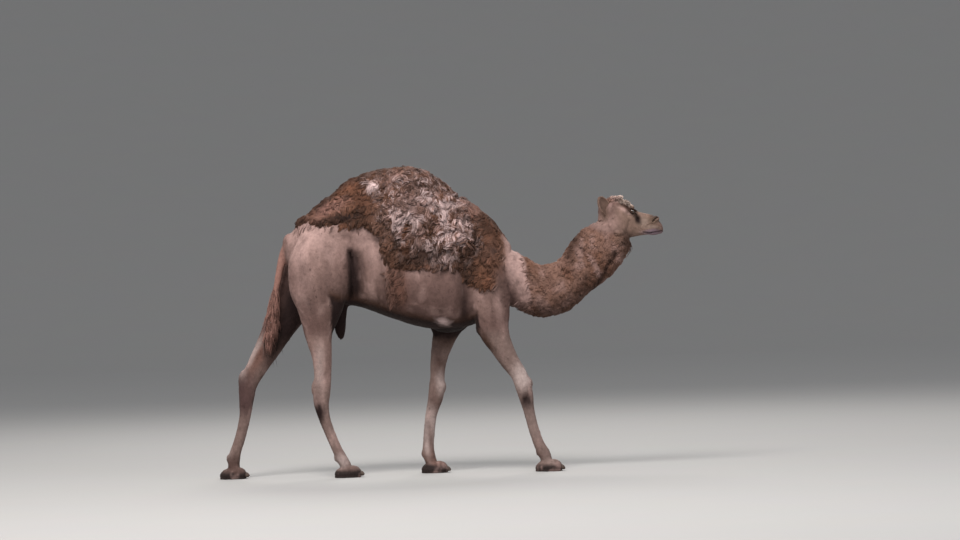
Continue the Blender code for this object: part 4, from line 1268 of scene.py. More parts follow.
def hornMaterial(name, group, tone, dust, cracks, dusting, bump):
    made = bpy.data.materials.new(name)
    made.use_nodes = True
    tree = made.node_tree
    shader = tree.nodes["Principled BSDF"]
    shader.inputs["Specular IOR Level"].default_value = 0.15
    worn = groupNode(
        tree, group, (-600, 0), Cracks=cracks, Dusting=dusting,
        Tone=(*linear(tone), 1), Dust=(*linear(dust), 1),
    )
    lift = node(tree, "ShaderNodeBump", (-300, -300), Strength=bump, Distance=0.003)
    tree.links.new(worn.outputs["Tone"], shader.inputs["Base Color"])
    tree.links.new(worn.outputs["Roughness"], shader.inputs["Roughness"])
    tree.links.new(worn.outputs["Height"], lift.inputs["Height"])
    tree.links.new(lift.outputs["Normal"], shader.inputs["Normal"])
    return made


eyeLook = {
    "pupil": (0.004, 0.003, 0.003, 1),
    "iris": (0.075, 0.030, 0.012, 1),
    "rim": (0.020, 0.010, 0.007, 1),
    "white": (0.045, 0.026, 0.018, 1),
}


def eyeMaterial(side):
    made = bpy.data.materials.new("eyeLeft" if side > 0 else "eyeRight")
    made.use_nodes = True
    tree = made.node_tree
    shader = tree.nodes["Principled BSDF"]
    shader.inputs["Roughness"].default_value = 0.06
    shader.inputs["Coat Weight"].default_value = 1.0
    shader.inputs["Coat Roughness"].default_value = 0.02
    gaze, corner, lift = gazeAxes(side)
    turn = Matrix((corner, lift, gaze))
    centre = Vector((eyePlace["x"], side * eyePlace["out"], eyePlace["z"])) + placeShift
    where = node(tree, "ShaderNodeTexCoord", (-1300, 0))
    if turn.determinant() < 0:
        turn = Matrix((-corner, lift, gaze))
    place = node(tree, "ShaderNodeMapping", (-1100, 0), vector_type="POINT")
    place.inputs["Rotation"].default_value = turn.to_euler()
    place.inputs["Location"].default_value = -(turn @ centre)
    wide = node(tree, "ShaderNodeVectorMath", (-900, 0), operation="MULTIPLY")
    wide.inputs[1].default_value = (0.62, 1.0, 0.0)
    far = node(tree, "ShaderNodeVectorMath", (-700, 0), operation="LENGTH")
    flat = node(tree, "ShaderNodeVectorMath", (-900, -250), operation="MULTIPLY")
    flat.inputs[1].default_value = (1.0, 1.0, 0.0)
    rimFar = node(tree, "ShaderNodeVectorMath", (-700, -250), operation="LENGTH")
    rays = node(tree, "ShaderNodeTexNoise", (-900, -500), Scale=260.0, Detail=3.0)
    pupil = node(tree, "ShaderNodeMapRange", (-500, 0), From_Min=0.0042, From_Max=0.0052)
    rim = node(tree, "ShaderNodeMapRange", (-500, -250), From_Min=0.0125, From_Max=0.0150)
    irisTone = node(tree, "ShaderNodeMix", (-500, -500), data_type="RGBA")
    irisTone.inputs[6].default_value = eyeLook["rim"]
    irisTone.inputs[7].default_value = eyeLook["iris"]
    inner = node(tree, "ShaderNodeMix", (-300, 0), data_type="RGBA")
    inner.inputs[6].default_value = eyeLook["pupil"]
    outer = node(tree, "ShaderNodeMix", (-150, 0), data_type="RGBA")
    outer.inputs[7].default_value = eyeLook["white"]
    link = tree.links.new
    link(where.outputs["Object"], place.inputs["Vector"])
    link(place.outputs[0], wide.inputs[0])
    link(place.outputs[0], flat.inputs[0])
    link(place.outputs[0], rays.inputs["Vector"])
    link(wide.outputs[0], far.inputs[0])
    link(flat.outputs[0], rimFar.inputs[0])
    link(far.outputs["Value"], pupil.inputs["Value"])
    link(rimFar.outputs["Value"], rim.inputs["Value"])
    link(rays.outputs["Fac"], irisTone.inputs[0])
    link(irisTone.outputs[2], inner.inputs[7])
    link(pupil.outputs[0], inner.inputs[0])
    link(inner.outputs[2], outer.inputs[6])
    link(rim.outputs[0], outer.inputs[0])
    link(outer.outputs[2], shader.inputs["Base Color"])
    return made


# The coat: closed, tapering locks over the skin.

coatKinds = {
    # count, rings along a lock, length, width, lift in degrees, droop, curl radius and turns,
    # size of the clumps and how far they pull together, how much the lie swirls, and the tone at root and
    # tip: painted shade darkens the roots and painted light brightens the tips
    "mat": {
        "count": 30500, "rings": 3, "length": (0.030, 0.056), "width": 0.0064, "lift": (4, 26),
        "droop": 0.20, "hang": 0.10, "curl": (0.0030, 0.7), "clump": 0.036, "pull": 0.62,
        "swirl": 0.95, "rootShadeTipLight": (0.66, 1.22),
    },
    "curls": {
        "count": 8600, "rings": 5, "length": (0.050, 0.085), "width": 0.0062, "lift": (14, 52),
        "droop": 0.34, "hang": 0.20, "curl": (0.0085, 1.15), "clump": 0.045, "pull": 0.72,
        "swirl": 1.7, "rootShadeTipLight": (0.62, 1.22),
    },
    "fringe": {
        "count": 2900, "rings": 5, "length": (0.036, 0.070), "width": 0.0058, "lift": (3, 18),
        "droop": 0.22, "hang": 0.35, "curl": (0.0050, 0.8), "clump": 0.030, "pull": 0.70,
        "swirl": 0.5, "rootShadeTipLight": (0.70, 1.15),
    },
    "felt": {
        "count": 17500, "rings": 3, "length": (0.018, 0.032), "width": 0.0082, "lift": (2, 11),
        "droop": 0.16, "hang": 0.06, "curl": (0.0026, 0.8), "clump": 0.022, "pull": 0.12,
        "swirl": 1.1, "rootShadeTipLight": (0.98, 1.10),
    },
    "short": {
        "count": 20000, "rings": 2, "length": (0.012, 0.022), "width": 0.0030, "lift": (3, 13),
        "droop": 0.10, "hang": 0.0, "curl": (0.0006, 0.4), "clump": 0.020, "pull": 0.35,
        "swirl": 0.35, "rootShadeTipLight": (0.84, 1.12),
    },
    "face": {
        "count": 8000, "rings": 2, "length": (0.006, 0.011), "width": 0.0016, "lift": (4, 15),
        "droop": 0.08, "hang": 0.0, "curl": (0.0003, 0.4), "clump": 0.010, "pull": 0.35,
        "swirl": 0.30, "rootShadeTipLight": (0.86, 1.12),
    },
    "topknot": {
        "count": 2000, "rings": 5, "length": (0.022, 0.044), "width": 0.0036, "lift": (24, 62),
        "droop": 0.35, "hang": 0.10, "curl": (0.0050, 1.1), "clump": 0.020, "pull": 0.65,
        "swirl": 1.2, "rootShadeTipLight": (0.62, 1.25),
    },
    "brush": {
        "count": 1300, "rings": 5, "length": (0.070, 0.130), "width": 0.0050, "lift": (5, 24),
        "droop": 0.05, "hang": 0.45, "curl": (0.0050, 0.8), "clump": 0.022, "pull": 0.60,
        "swirl": 0.25, "rootShadeTipLight": (0.75, 1.10),
    },
}
pieceLimit = 190000  # triangles in one coat piece
unwrapFaces = 7000  # in the plain copy of the skin that is unwrapped
tuftPatch = 0.003  # how wide a lock's place on that unwrap is
rootDepth = 0.0015  # of a lock's root in the skin


def hairLie(points, normals):
    # the way the coat runs: back and down the body, down the legs, up the face from the muzzle
    x, z = points[:, 0], points[:, 2]
    lie = np.empty_like(points)
    lie[:] = (-0.62, 0.0, -0.78)
    top = ease((z - 1.74) / 0.12)[:, None] * (x < 0.5)[:, None]
    crown = np.stack([np.clip((x + 0.15) * 1.1, -0.8, 0.5) - 0.35, 0 * x, 0 * x - 0.9], axis=1)
    lie += (crown - lie) * top
    leg = ease((1.12 - z) / 0.18)[:, None]
    lie += (np.array((-0.10, 0.0, -1.0)) - lie) * leg
    slope = np.gradient(np.array([row[2] for row in neckForm]), np.array([row[0] for row in neckForm]))
    climb = np.interp(x, [row[0] for row in neckForm], slope)
    run = unit(np.stack([-np.ones_like(x), 0 * x, -climb], axis=1))
    neck = (ease((x - 0.48) / 0.14) * ease((z - 0.98) / 0.05))[:, None]
    lie += (run * 0.75 + (0, 0, -0.62) - lie) * neck
    head = (ease((x - 1.215) / 0.05) * ease((z - 1.53) / 0.05))[:, None]
    lie += (np.array((-0.90, 0.0, 0.30)) - lie) * head
    tail = tailMask(points)[:, None]
    lie += (np.array((-0.18, 0.0, -1.0)) - lie) * tail
    lie -= normals * np.sum(lie * normals, axis=1)[:, None]
    return unit(lie + 1e-6)


def coatWeights(points):
    # how thickly each kind of lock grows at a place
    mat = woolCover(points)
    curl = curlMask(points)
    x, z = points[:, 0], points[:, 2]
    head = ease((x - 1.235) / 0.03) * ease((z - 1.545) / 0.02)
    cape = patchMask(points, *coatDepth["wool"][3][:5], 0.16, 4.0)
    band = 4 * cape * (1 - cape) * (z < 1.80)
    neck = ease((x - 0.58) / 0.10)
    throat = patchMask(points, 1.335, 1.522, 0.055, 0.030, -30, 0.5)
    knot = patchMask(points, 1.282, 1.838, 0.085, 0.028, -16, 0.6)
    tail = tailMask(points)
    brush = tail * ease((1.30 - z) / 0.10)
    free = 1 - ease((0.012 - z) / 0.004)
    bare = 1 - patchMask(points, 1.535, 1.620, 0.030, 0.050, 0, 0.5)
    eyes = ((x - 1.362) / 0.030) ** 2 + ((z - 1.738) / 0.021) ** 2 > 1
    horn = patchMask(points, *chestPadForm["place"], 0.12, 0.05, 0, 0.4)
    return {
        "mat": mat * (1 - 0.55 * curl) * (1 - neck) * (1 - tail),
        "felt": mat * neck * (1 - head),
        "curls": curl * mat,
        "fringe": band + throat * 0.04,
        "short": (1 - mat) * (1 - head) * (1 - tail * 0.7) * free * (z > 0.03) * (1 - horn),
        "face": head * bare * eyes * (1 - knot * 0.8),
        "topknot": knot * head,
        "brush": brush,
    }


def skinSample(skin):
    mesh = skin.data
    points, normals = coordinates(mesh), vertexNormals(mesh)
    faces = np.empty(len(mesh.polygons) * 3, np.int64)
    mesh.polygons.foreach_get("vertices", faces)
    faces = faces.reshape(-1, 3)
    corners = points[faces]
    cross = np.cross(corners[:, 1] - corners[:, 0], corners[:, 2] - corners[:, 0])
    area = np.linalg.norm(cross, axis=1) / 2
    return points, normals, faces, area


def scatter(sample, weights, count, seed):
    points, normals, faces, area = sample
    share = weights[faces].mean(axis=1) * area
    ladder = np.cumsum(share)
    random = np.random.default_rng(seed)
    steps = (np.arange(count) + random.random(count)) / count * ladder[-1]
    chosen = np.minimum(np.searchsorted(ladder, steps), len(faces) - 1)
    a, b = random.random((2, count))
    a, b = np.where(a + b > 1, 1 - a, a), np.where(a + b > 1, 1 - b, b)
    mix = np.stack([1 - a - b, a, b], axis=1)[:, :, None]
    roots = (points[faces[chosen]] * mix).sum(axis=1)
    ways = unit((normals[faces[chosen]] * mix).sum(axis=1))
    return roots, ways, random


def turned(ways, axes, angles):
    c, s = np.cos(angles)[:, None], np.sin(angles)[:, None]
    return ways * c + np.cross(axes, ways) * s


def clumpLeaders(roots, size):
    cells = np.floor(roots / size + 0.5).astype(np.int64)
    _, first = np.unique(cells, axis=0, return_index=True)
    tree = kdtree.KDTree(len(first))
    for k in first.tolist():
        tree.insert(roots[k], k)
    tree.balance()
    return np.array([tree.find(root)[1] for root in roots.tolist()])


def strandPaths(roots, normals, lie, kind, random):
    count, rings = len(roots), kind["rings"]
    leader = clumpLeaders(roots, kind["clump"])
    lift = np.radians(random.uniform(*kind["lift"], count))
    lift = (0.5 * lift + 0.5 * lift[leader]) * (1 - 0.55 * ease((normals[:, 2] - 0.35) / 0.5))
    length = random.uniform(*kind["length"], count)
    length *= 0.88 + 0.24 * random.random(count)[leader]
    swirl = kind["swirl"] * (0.9 * mottle(roots, 0.085, 14) + 0.5 * random.normal(size=count)[leader])
    swirl += 0.12 * random.normal(size=count)
    lie = turned(lie, normals, swirl)
    side = np.cross(normals, lie)
    ahead = lie * np.cos(lift)[:, None] + normals * np.sin(lift)[:, None]
    phase = random.uniform(0, math.tau, count)[leader] + random.normal(0, 0.35, count)
    steps = np.linspace(0, 1, rings + 1)
    radius, turns = kind["curl"]
    paths = np.empty((count, rings + 1, 3))
    for k, s in enumerate(steps):
        bend = -normals * (kind["droop"] * s * s) + np.array((0, 0, -kind["hang"])) * s * s
        spot = roots - normals * rootDepth + (ahead * s + bend) * length[:, None]
        wave = phase + turns * math.tau * s
        coil = side * np.sin(wave)[:, None] + normals * np.cos(wave)[:, None]
        base = side * np.sin(phase)[:, None] + normals * np.cos(phase)[:, None]
        spot += (coil - base * (1 - s)) * (radius * min(1.0, s * 2))
        paths[:, k] = spot
    pull = (kind["pull"] * steps**1.4)[None, :, None]
    paths += (paths[leader] - paths) * pull
    return paths, leader


def strandMesh(name, paths, normals, width, colours, rootShadeTipLight, patches):
    # three-sided locks: flat underneath, a ridge on top, closed at the root, a point at the tip
    count, levels = paths.shape[:2]
    rings = levels - 1
    ways = np.gradient(paths, axis=1)
    ways /= np.maximum(np.linalg.norm(ways, axis=2), 1e-9)[:, :, None]
    side = np.cross(normals[:, None, :], ways)
    side /= np.maximum(np.linalg.norm(side, axis=2), 1e-9)[:, :, None]
    up = np.cross(ways, side)
    steps = np.linspace(0, 1, levels)
    broad = np.interp(steps, (0, 0.3, 0.7, 1), (0.75, 1.0, 0.78, 0.0))
    half = width[:, None] * 0.5 * broad[None, :]
    verts = np.empty((count, rings * 3 + 1, 3))
    for k in range(rings):
        reach = half[:, k][:, None]
        verts[:, 3 * k] = paths[:, k] - side[:, k] * reach
        verts[:, 3 * k + 1] = paths[:, k] + side[:, k] * reach
        verts[:, 3 * k + 2] = paths[:, k] + up[:, k] * reach * 0.85
    verts[:, -1] = paths[:, -1]
    shape = []
    for k in range(rings - 1):
        for a, b in ((0, 1), (1, 2), (2, 0)):
            shape.append((3 * k + a, 3 * k + b, 3 * k + 3 + b, 3 * k + 3 + a))
    last = 3 * (rings - 1)
    for a, b in ((0, 1), (1, 2), (2, 0)):
        shape.append((last + a, last + b, last + 3))
    shape.append((0, 2, 1))
    perStrand = rings * 3 + 1
    loops = np.array([v for face in shape for v in face])
    starts = np.cumsum([0] + [len(face) for face in shape])[:-1]
    offsets = np.arange(count)
    allLoops = (loops[None, :] + offsets[:, None] * perStrand).ravel()
    allStarts = (starts[None, :] + offsets[:, None] * len(loops)).ravel()
    mesh = bpy.data.meshes.new(name)
    mesh.vertices.add(count * perStrand)
    mesh.vertices.foreach_set("co", verts.ravel())
    mesh.loops.add(len(allLoops))
    mesh.loops.foreach_set("vertex_index", allLoops.astype(np.int32))
    mesh.polygons.add(len(allStarts))
    mesh.polygons.foreach_set("loop_start", allStarts.astype(np.int32))
    mesh.polygons.foreach_set("use_smooth", np.ones(len(allStarts), bool))
    mesh.update(calc_edges=True)
    level = np.minimum(np.arange(perStrand) // 3, rings) / rings
    # painted shade towards the root of each lock, painted light towards its tip
    tone = np.interp(level, (0, 1), rootShadeTipLight)
    values = np.ones((count, perStrand, 4), np.float32)
    values[:, :, :3] = np.clip(colours[:, None, :] * tone[None, :, None], 0.002, 0.95)
    layer = mesh.color_attributes.new("coatTone", "FLOAT_COLOR", "POINT")
    layer.data.foreach_set("color", values.ravel())
    corner = np.stack([(np.arange(perStrand) % 3) / 2, level], axis=1) * tuftPatch
    uv = patches[:, None, :] + corner[loops][None, :, :] - tuftPatch / 2
    mesh.uv_layers.new(name="OFBake")
    mesh.uv_layers["OFBake"].data.foreach_set("uv", uv.astype(np.float32).ravel())
    piece = bpy.data.objects.new(name, mesh)
    bpy.context.scene.collection.objects.link(piece)
    return piece


class SkinMap:
    # an unwrap of a plain copy of the skin, to find where each root lies on it
    def __init__(self, skin):
        copy = skin.copy()
        copy.data = skin.data.copy()
        copy.data.materials.clear()
        bpy.context.scene.collection.objects.link(copy)
        applyModifier(copy, "DECIMATE", ratio=unwrapFaces / len(copy.data.polygons))
        applyModifier(copy, "TRIANGULATE")
        bpy.ops.object.mode_set(mode="EDIT")
        bpy.ops.mesh.select_all(action="SELECT")
        bpy.ops.uv.smart_project(angle_limit=math.radians(66), island_margin=0.004)
        bpy.ops.object.mode_set(mode="OBJECT")
        mesh = copy.data
        self.points = coordinates(mesh)
        faces = np.empty(len(mesh.polygons) * 3, np.int64)
        mesh.polygons.foreach_get("vertices", faces)
        self.faces = faces.reshape(-1, 3)
        uv = np.empty(len(mesh.loops) * 2)
        mesh.uv_layers[0].data.foreach_get("uv", uv)
        self.uv = uv.reshape(-1, 3, 2)
        self.tree = BVHTree.FromPolygons(self.points.tolist(), self.faces.tolist())
        bpy.data.objects.remove(copy)
        bpy.data.meshes.remove(mesh)

    def places(self, roots):
        spots = [self.tree.find_nearest(Vector(root)) for root in roots.tolist()]
        near = np.array([spot[0] for spot in spots])
        index = np.array([spot[2] for spot in spots])
        a, b, c = (self.points[self.faces[index][:, k]] for k in range(3))
        one, two, gap = b - a, c - a, near - a
        d11, d12, d22 = (one * one).sum(1), (one * two).sum(1), (two * two).sum(1)
        g1, g2 = (gap * one).sum(1), (gap * two).sum(1)
        whole = np.maximum(d11 * d22 - d12 * d12, 1e-16)
        v = np.clip((d22 * g1 - d12 * g2) / whole, 0, 1)
        w = np.clip((d11 * g2 - d12 * g1) / whole, 0, 1)
        uv = self.uv[index]
        return uv[:, 0] * (1 - v - w)[:, None] + uv[:, 1] * v[:, None] + uv[:, 2] * w[:, None]


def growCoat(skin, materials):
    sample = skinSample(skin)
    weights = coatWeights(sample[0])
    skinMap = SkinMap(skin)
    made = []
    for seed, (name, kind) in enumerate(coatKinds.items()):
        count = kind["count"] // 1
        roots, normals, random = scatter(sample, weights[name], count, 100 + seed)
        lie = hairLie(roots, normals)
        paths, leader = strandPaths(roots, normals, lie, kind, random)
        colours = markSurface(roots)
        spread = 0.16 if name in ("mat", "curls", "fringe") else 0.07
        change = spread * random.normal(size=count)[leader]
        colours *= (1 + change + 0.06 * random.normal(size=count))[:, None]
        width = kind["width"] * random.uniform(0.7, 1.25, count) * 1
        patches = skinMap.places(roots)
        triangles = 6 * (kind["rings"] - 1) + 4
        order = np.argsort(roots[:, 0])
        parts = max(1, math.ceil(count * triangles / pieceLimit))
        for k, part in enumerate(np.array_split(order, parts)):
            piece = strandMesh(
                f"coat_{name}_{k + 1}" if parts > 1 else f"coat_{name}", paths[part],
                normals[part], width[part], np.clip(colours[part], 0.004, 0.95), kind["rootShadeTipLight"], patches[part],
            )
            piece.data.materials.append(materials["short" if name in ("short", "face") else "wool"])
            made.append(piece)
        print("coat,", name, count, "locks in", parts, "pieces")
    return made


# Eyes, lids, ears, nails and the pad under the chest.

def faceOut(piece):
    deselectAll()
    piece.select_set(True)
    bpy.context.view_layer.objects.active = piece
    bpy.ops.object.mode_set(mode="EDIT")
    bpy.ops.mesh.select_all(action="SELECT")
    bpy.ops.mesh.remove_doubles(threshold=0.00005)
    bpy.ops.mesh.normals_make_consistent(inside=False)
    bpy.ops.object.mode_set(mode="OBJECT")
    for face in piece.data.polygons:
        face.use_smooth = True


def makeEye(side):
    deselectAll()
    gaze = gazeAxes(side)[0]
    centre = Vector((eyePlace["x"], side * eyePlace["out"], eyePlace["z"]))
    turn = gaze.to_track_quat("Z", "Y").to_euler()
    bpy.ops.mesh.primitive_uv_sphere_add(
        segments=48, ring_count=32, radius=eyePlace["radius"], location=centre, rotation=turn
    )
    piece = newPiece("eyeball_left" if side > 0 else "eyeball_right")
    settle(piece)
    points = coordinates(piece.data)  # the clear front stands out of the ball
    reach = points - np.array(centre)
    ahead = reach @ np.array(gaze) / eyePlace["radius"]
    points += reach * (0.055 * ease((ahead - 0.72) / 0.2))[:, None]
    putCoordinates(piece.data, points)
    for face in piece.data.polygons:
        face.use_smooth = True
    piece.data.materials.append(eyeMaterial(side))
    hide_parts("eye_left" if side > 0 else "eye_right")
    return piece


lidForm = {"opening": {"upper": 27, "lower": -25}, "outer": {"upper": 74, "lower": -70}, "ends": 14}


def lidPoint(side, end, tilt, radius):
    # end runs from one corner of the eye to the other, tilt is degrees above the gaze
    gaze, corner, lift = gazeAxes(side)
    centre = Vector((eyePlace["x"], side * eyePlace["out"], eyePlace["z"]))
    polar, rise = math.radians(end), math.radians(tilt)
    way = corner * math.cos(polar)
    way += (gaze * math.cos(rise) + lift * math.sin(rise)) * math.sin(polar)
    return centre + way * radius


def makeLid(side, which):
    deselectAll()
    bpy.ops.mesh.primitive_grid_add(x_subdivisions=28, y_subdivisions=9, size=1)
    hand = "left" if side > 0 else "right"
    piece = newPiece(f"{which}_lid_{hand}")
    inner, outer = lidForm["opening"][which], lidForm["outer"][which]
    for vertex in piece.data.vertices:
        u, v = vertex.co.x + 0.5, vertex.co.y + 0.5
        end = lidForm["ends"] + (180 - 2 * lidForm["ends"]) * u
        tilt = inner + (outer - inner) * v
        swell = 0.0252 + 0.0016 * math.exp(-((v - 0.10) / 0.12) ** 2)
        crease = 0.0012 * math.exp(-((v - 0.42) / 0.08) ** 2) if which == "upper" else 0.0
        crease += 0.0008 * math.exp(-((v - 0.70) / 0.07) ** 2)
        dive = 0.0042 * max(0.0, (v - 0.60) / 0.4) ** 1.5
        edge = 0.0020 * (abs(u - 0.5) * 2) ** 6
        vertex.co = lidPoint(side, end, tilt, swell - crease - dive - edge)
    settle(piece)
    faceOut(piece)
    middle = lidPoint(side, 90, inner + (outer - inner) * 0.5, 0.0)
    toward = sum(f.normal.dot(f.center - middle) for f in piece.data.polygons)
    if toward < 0:
        piece.data.flip_normals()
    applyModifier(piece, "SOLIDIFY", thickness=0.0034, offset=-1)
    applyModifier(piece, "SUBSURF", levels=1, render_levels=1)
    for face in piece.data.polygons:
        face.use_smooth = True
    return piece


def makeLashes(side, count=120):
    # long double rows on the upper lid, shorter ones below
    random = np.random.default_rng(40 + side)
    paths = []
    lift = gazeAxes(side)[2]
    steps = (0, 0.34, 0.67, 1)
    for k in range(count):
        upper = k % 3 > 0
        end = random.uniform(32, 148)
        tilt = lidForm["opening"]["upper" if upper else "lower"]
        tilt += random.uniform(0, 4) * (1 if upper else -1)
        length = random.uniform(0.013, 0.020) if upper else random.uniform(0.005, 0.008)
        root = lidPoint(side, end, tilt, 0.0252)
        out = lidPoint(side, end + (end - 90) * 0.15, tilt, 0.0352) - root
        out.normalize()
        fall = Vector((0.15, 0, -1.0)) if upper else Vector((0, 0, -0.8))
        paths.append([root + out * (length * s) + fall * (length * 0.55 * s * s) for s in steps])
    paths = np.array(paths)
    normals = np.tile(np.array(lift), (count, 1))
    colours = np.tile(linear("dark") * 0.6, (count, 1))
    width = np.full(count, 0.0009)
    hand = "left" if side > 0 else "right"
    piece = strandMesh(f"lashes_{hand}", paths, normals, width, colours, (1, 1), np.zeros((count, 2)) + 0.5)
    piece.data.uv_layers.remove(piece.data.uv_layers["OFBake"])
    return piece


earForm = {
    "base": (1.186, 0.062, 1.722),
    "tip": (1.152, 0.100, 1.836),
    "width": 0.041,  # half of the widest part
    "cup": 0.024,
    "wall": 0.0035,
}


def earAxes(side):
    base = Vector(earForm["base"]) * Vector((1, side, 1))
    tip = Vector(earForm["tip"]) * Vector((1, side, 1))
    up = (tip - base).normalized()
    back = Vector((-0.72, -side * 0.62, 0.0))  # the cup opens forward and outward
    back = (back - up * back.dot(up)).normalized()
    return base, tip, up, back, up.cross(back)


def earPoint(side, u, v):
    # u across from -1 to 1, v from base to tip
    base, tip, up, back, across = earAxes(side)
    width = earForm["width"] * (0.40 + 0.75 * math.sin(math.pi * min(1, v * 0.62 + 0.20)))
    width *= (1 - v**5) ** 0.6
    width *= 1 - 0.12 * (1 - v) ** 3
    depth = earForm["cup"] * (1 - 0.45 * v) * (1 - 0.55 * v**4)
    angle = u * (1.9 - 0.75 * v)
    place = base + up * ((tip - base).length * v)
    place += across * (width * math.sin(angle) / math.sin(min(1.57, abs(1.9 - 0.75 * v))))
    place += back * (depth * math.cos(angle) - depth * 0.6)
    place += back * (0.010 * v * v) + up * (0.004 * (1 - abs(u)) * v)
    return place


def makeEar(side):
    deselectAll()
    bpy.ops.mesh.primitive_grid_add(x_subdivisions=22, y_subdivisions=22, size=2)
    piece = newPiece("ear_shell_left" if side > 0 else "ear_shell_right")
    for vertex in piece.data.vertices:
        u, v = vertex.co.x, (vertex.co.y + 1) / 2
        vertex.co = earPoint(side, u, v)
    settle(piece)
    faceOut(piece)
    applyModifier(piece, "SOLIDIFY", thickness=earForm["wall"], offset=0)
    applyModifier(piece, "SUBSURF", levels=1, render_levels=1)
    faceOut(piece)
    return piece


def earHairs(side, count=1700):
    random = np.random.default_rng(60 + side)
    up, back, across = earAxes(side)[2:]
    roots, normals, lie, lengths, tone = [], [], [], [], []
    for k in range(count):
        kind = k % 5
        v = random.uniform(0.02, 0.97)
        if kind == 0:  # the rims
            u = random.choice((-1, 1)) * random.uniform(0.90, 1.0)
            way = (back * -0.35 + across * (u * 0.8)).normalized()
            length, shade = random.uniform(0.008, 0.014), 1.60
        elif kind == 1:  # inside the cup
            u = random.uniform(-0.7, 0.7)
            way = (-back + across * (-u * 0.4)).normalized()
            length, shade = random.uniform(0.008, 0.014), 1.30
        else:
            u = random.uniform(-0.95, 0.95)
            way = (back * math.cos(u * 1.7) + across * math.sin(u * 1.7)).normalized()
            length, shade = random.uniform(0.009, 0.015), 1.05
        roots.append(earPoint(side, u, v))
        normals.append(way)
        lie.append((up + across * (0.35 * u) + way * 0.06).normalized())
        lengths.append(length)
        tone.append(shade * random.uniform(0.8, 1.2))
    roots, normals, lie = (np.array([tuple(v) for v in part]) for part in (roots, normals, lie))
    lengths = np.array(lengths)[:, None]
    bends = [(s, 0.16 * s - 0.13 * s * s) for s in (0, 0.35, 0.7, 1)]
    paths = np.stack([roots + lie * lengths * s + normals * lengths * bend for s, bend in bends], 1)
    colours = linear("ear") * np.array(tone)[:, None]
    hand = "left" if side > 0 else "right"
    return strandMesh(
        f"ear_hair_{hand}", paths, normals, np.full(count, 0.0034), colours, (0.92, 1.12),
        0.5 + 0.3 * random.random((count, 2)),
    )


nailForm = {"ahead": 0.088, "apart": 0.23, "height": 0.025, "radii": (0.023, 0.0165, 0.0150), "pitch": 25}


def makeNail(leg, place, spread):
    pair, hand = leg.split("_")
    form = legForms[leg]
    y = form["side"] * form["track"] + form["side"] * spread * footForm["wide"] * nailForm["apart"]
    centre = Vector((form["foot"] + nailForm["ahead"], y, nailForm["height"]))
    deselectAll()
    bpy.ops.mesh.primitive_uv_sphere_add(segments=28, ring_count=18, radius=1, location=centre)
    piece = newPiece(f"{pair}_claw_{hand}_{place}")
    bpy.ops.object.mode_set(mode="EDIT")
    bpy.ops.mesh.select_all(action="SELECT")
    bpy.ops.transform.resize(value=nailForm["radii"], center_override=centre)
    bpy.ops.object.mode_set(mode="OBJECT")
    settle(piece)
    turn = Matrix.Rotation(math.radians(nailForm["pitch"]), 3, "Y")
    for vertex in piece.data.vertices:
        reach = vertex.co - centre
        ahead = reach.x / nailForm["radii"][0]
        reach.y *= 1 - 0.25 * max(0, ahead) ** 2  # narrower to the point
        reach.z *= 1 - 0.30 * max(0, ahead)
        reach.z += 0.0007 * math.cos(ahead * 16) * max(0.0, reach.z / 0.015)  # growth rings
        vertex.co = centre + turn @ reach
        vertex.co.z = max(vertex.co.z, 0.001)
    for face in piece.data.polygons:
        face.use_smooth = True
    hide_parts(f"{pair}_nail_{hand}_{place}")
    return piece


chestPadForm = {"place": (0.090, 0.996), "radii": (0.112, 0.082, 0.046), "pitch": -3}


def makeChestPad():
    x, z = chestPadForm["place"]
    deselectAll()
    bpy.ops.mesh.primitive_uv_sphere_add(segments=96, ring_count=64, radius=1, location=(x, 0, z))
    piece = newPiece("kneeling_pad")
    bpy.ops.object.mode_set(mode="EDIT")
    bpy.ops.mesh.select_all(action="SELECT")
    bpy.ops.transform.resize(value=chestPadForm["radii"], center_override=(x, 0, z))
    bpy.ops.object.mode_set(mode="OBJECT")
    settle(piece)
    points = coordinates(piece.data)
    ways = vertexNormals(piece.data)
    below = ease((z - points[:, 2]) / 0.03)
    crack = np.abs(mottle(points * (1, 1, 0.5), 0.012, 4)) * 0.0030
    crack += np.abs(mottle(points, 0.030, 6)) * 0.0040
    points -= ways * (crack * below + 0.004)[:, None]
    putCoordinates(piece.data, points)
    for face in piece.data.polygons:
        face.use_smooth = True
    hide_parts("chest_pad")
    return piece


# Putting it together.

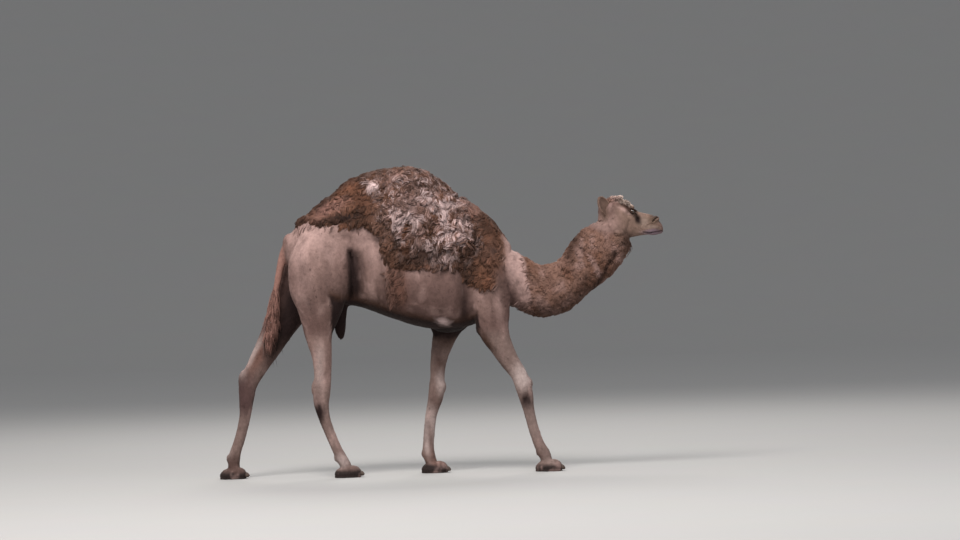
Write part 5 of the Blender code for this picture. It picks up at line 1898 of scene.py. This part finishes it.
addCamera()
addStudio()
print("camera, floor and lamps ready")
hairNodes, hornNodes = hairGroup(), hornGroup()
materials = {
    "skin": coatMaterial("shortCoatSkin", hairNodes, 420.0, 0.20, 0.30, 0.22, 0.55, 0.04),
    "short": coatMaterial("shortCoatLocks", hairNodes, 700.0, 0.25, 0.25, 0.15, 0.20, 0.04),
    "wool": coatMaterial("winterWool", hairNodes, 520.0, 0.60, 0.35, 0.25, 0.30, 0.08),
    "horn": hornMaterial("nailHorn", hornNodes, "horn", "muzzle", 60.0, 0.55, 0.15),
    # the kneeling pad is near black: the horn's own dark tone with painted shade under the chest
    "pad": hornMaterial("kneelingHorn", hornNodes, "sole", "shade", 75.0, 0.08, 0.5),
}
skin = makeSkin()
print("skin shaped,", len(skin.data.polygons), "triangles")
paint(skin, markSurface(coordinates(skin.data)))
skin.data.materials.append(materials["skin"])
coat = growCoat(skin, materials)
fleshNodes = [
    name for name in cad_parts
    if not name.startswith(("eye", "ear")) and "nail" not in name and name != "chest_pad"
]
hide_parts(*fleshNodes)

pieces = [skin, *coat]
for side in (-1, 1):
    pieces.append(makeEye(side))
    for which in ("upper", "lower"):
        lid = makeLid(side, which)
        spots = coordinates(lid.data)
        paint(lid, markSurface(spots) * 0.55)
        lid.data.materials.append(materials["short"])
        pieces.append(lid)
    lashes = makeLashes(side)
    lashes.data.materials.append(materials["short"])
    ear = makeEar(side)
    spots = coordinates(ear.data)
    cupTone = np.tile(linear("ear"), (len(spots), 1)) * (1 + 0.2 * mottle(spots, 0.015, 3))[:, None]
    paint(ear, cupTone)
    ear.data.materials.append(materials["skin"])
    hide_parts("ear_left" if side > 0 else "ear_right")
    hairs = earHairs(side)
    hairs.data.materials.append(materials["wool"])
    pieces += [lashes, ear, hairs]
for leg in legForms:
    for place, spread in (("inner", -1), ("outer", 1)):
        nail = makeNail(leg, place, spread)
        nail.data.materials.append(materials["horn"])
        pieces.append(nail)
pad = makeChestPad()
pad.data.materials.append(materials["pad"])
pieces.append(pad)
print("eyes, lids, ears, nails and pad made")

for piece in pieces:
    piece.data.transform(Matrix.Translation(placeShift))
    piece.data.update()
    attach(piece, "root")
deselectAll()
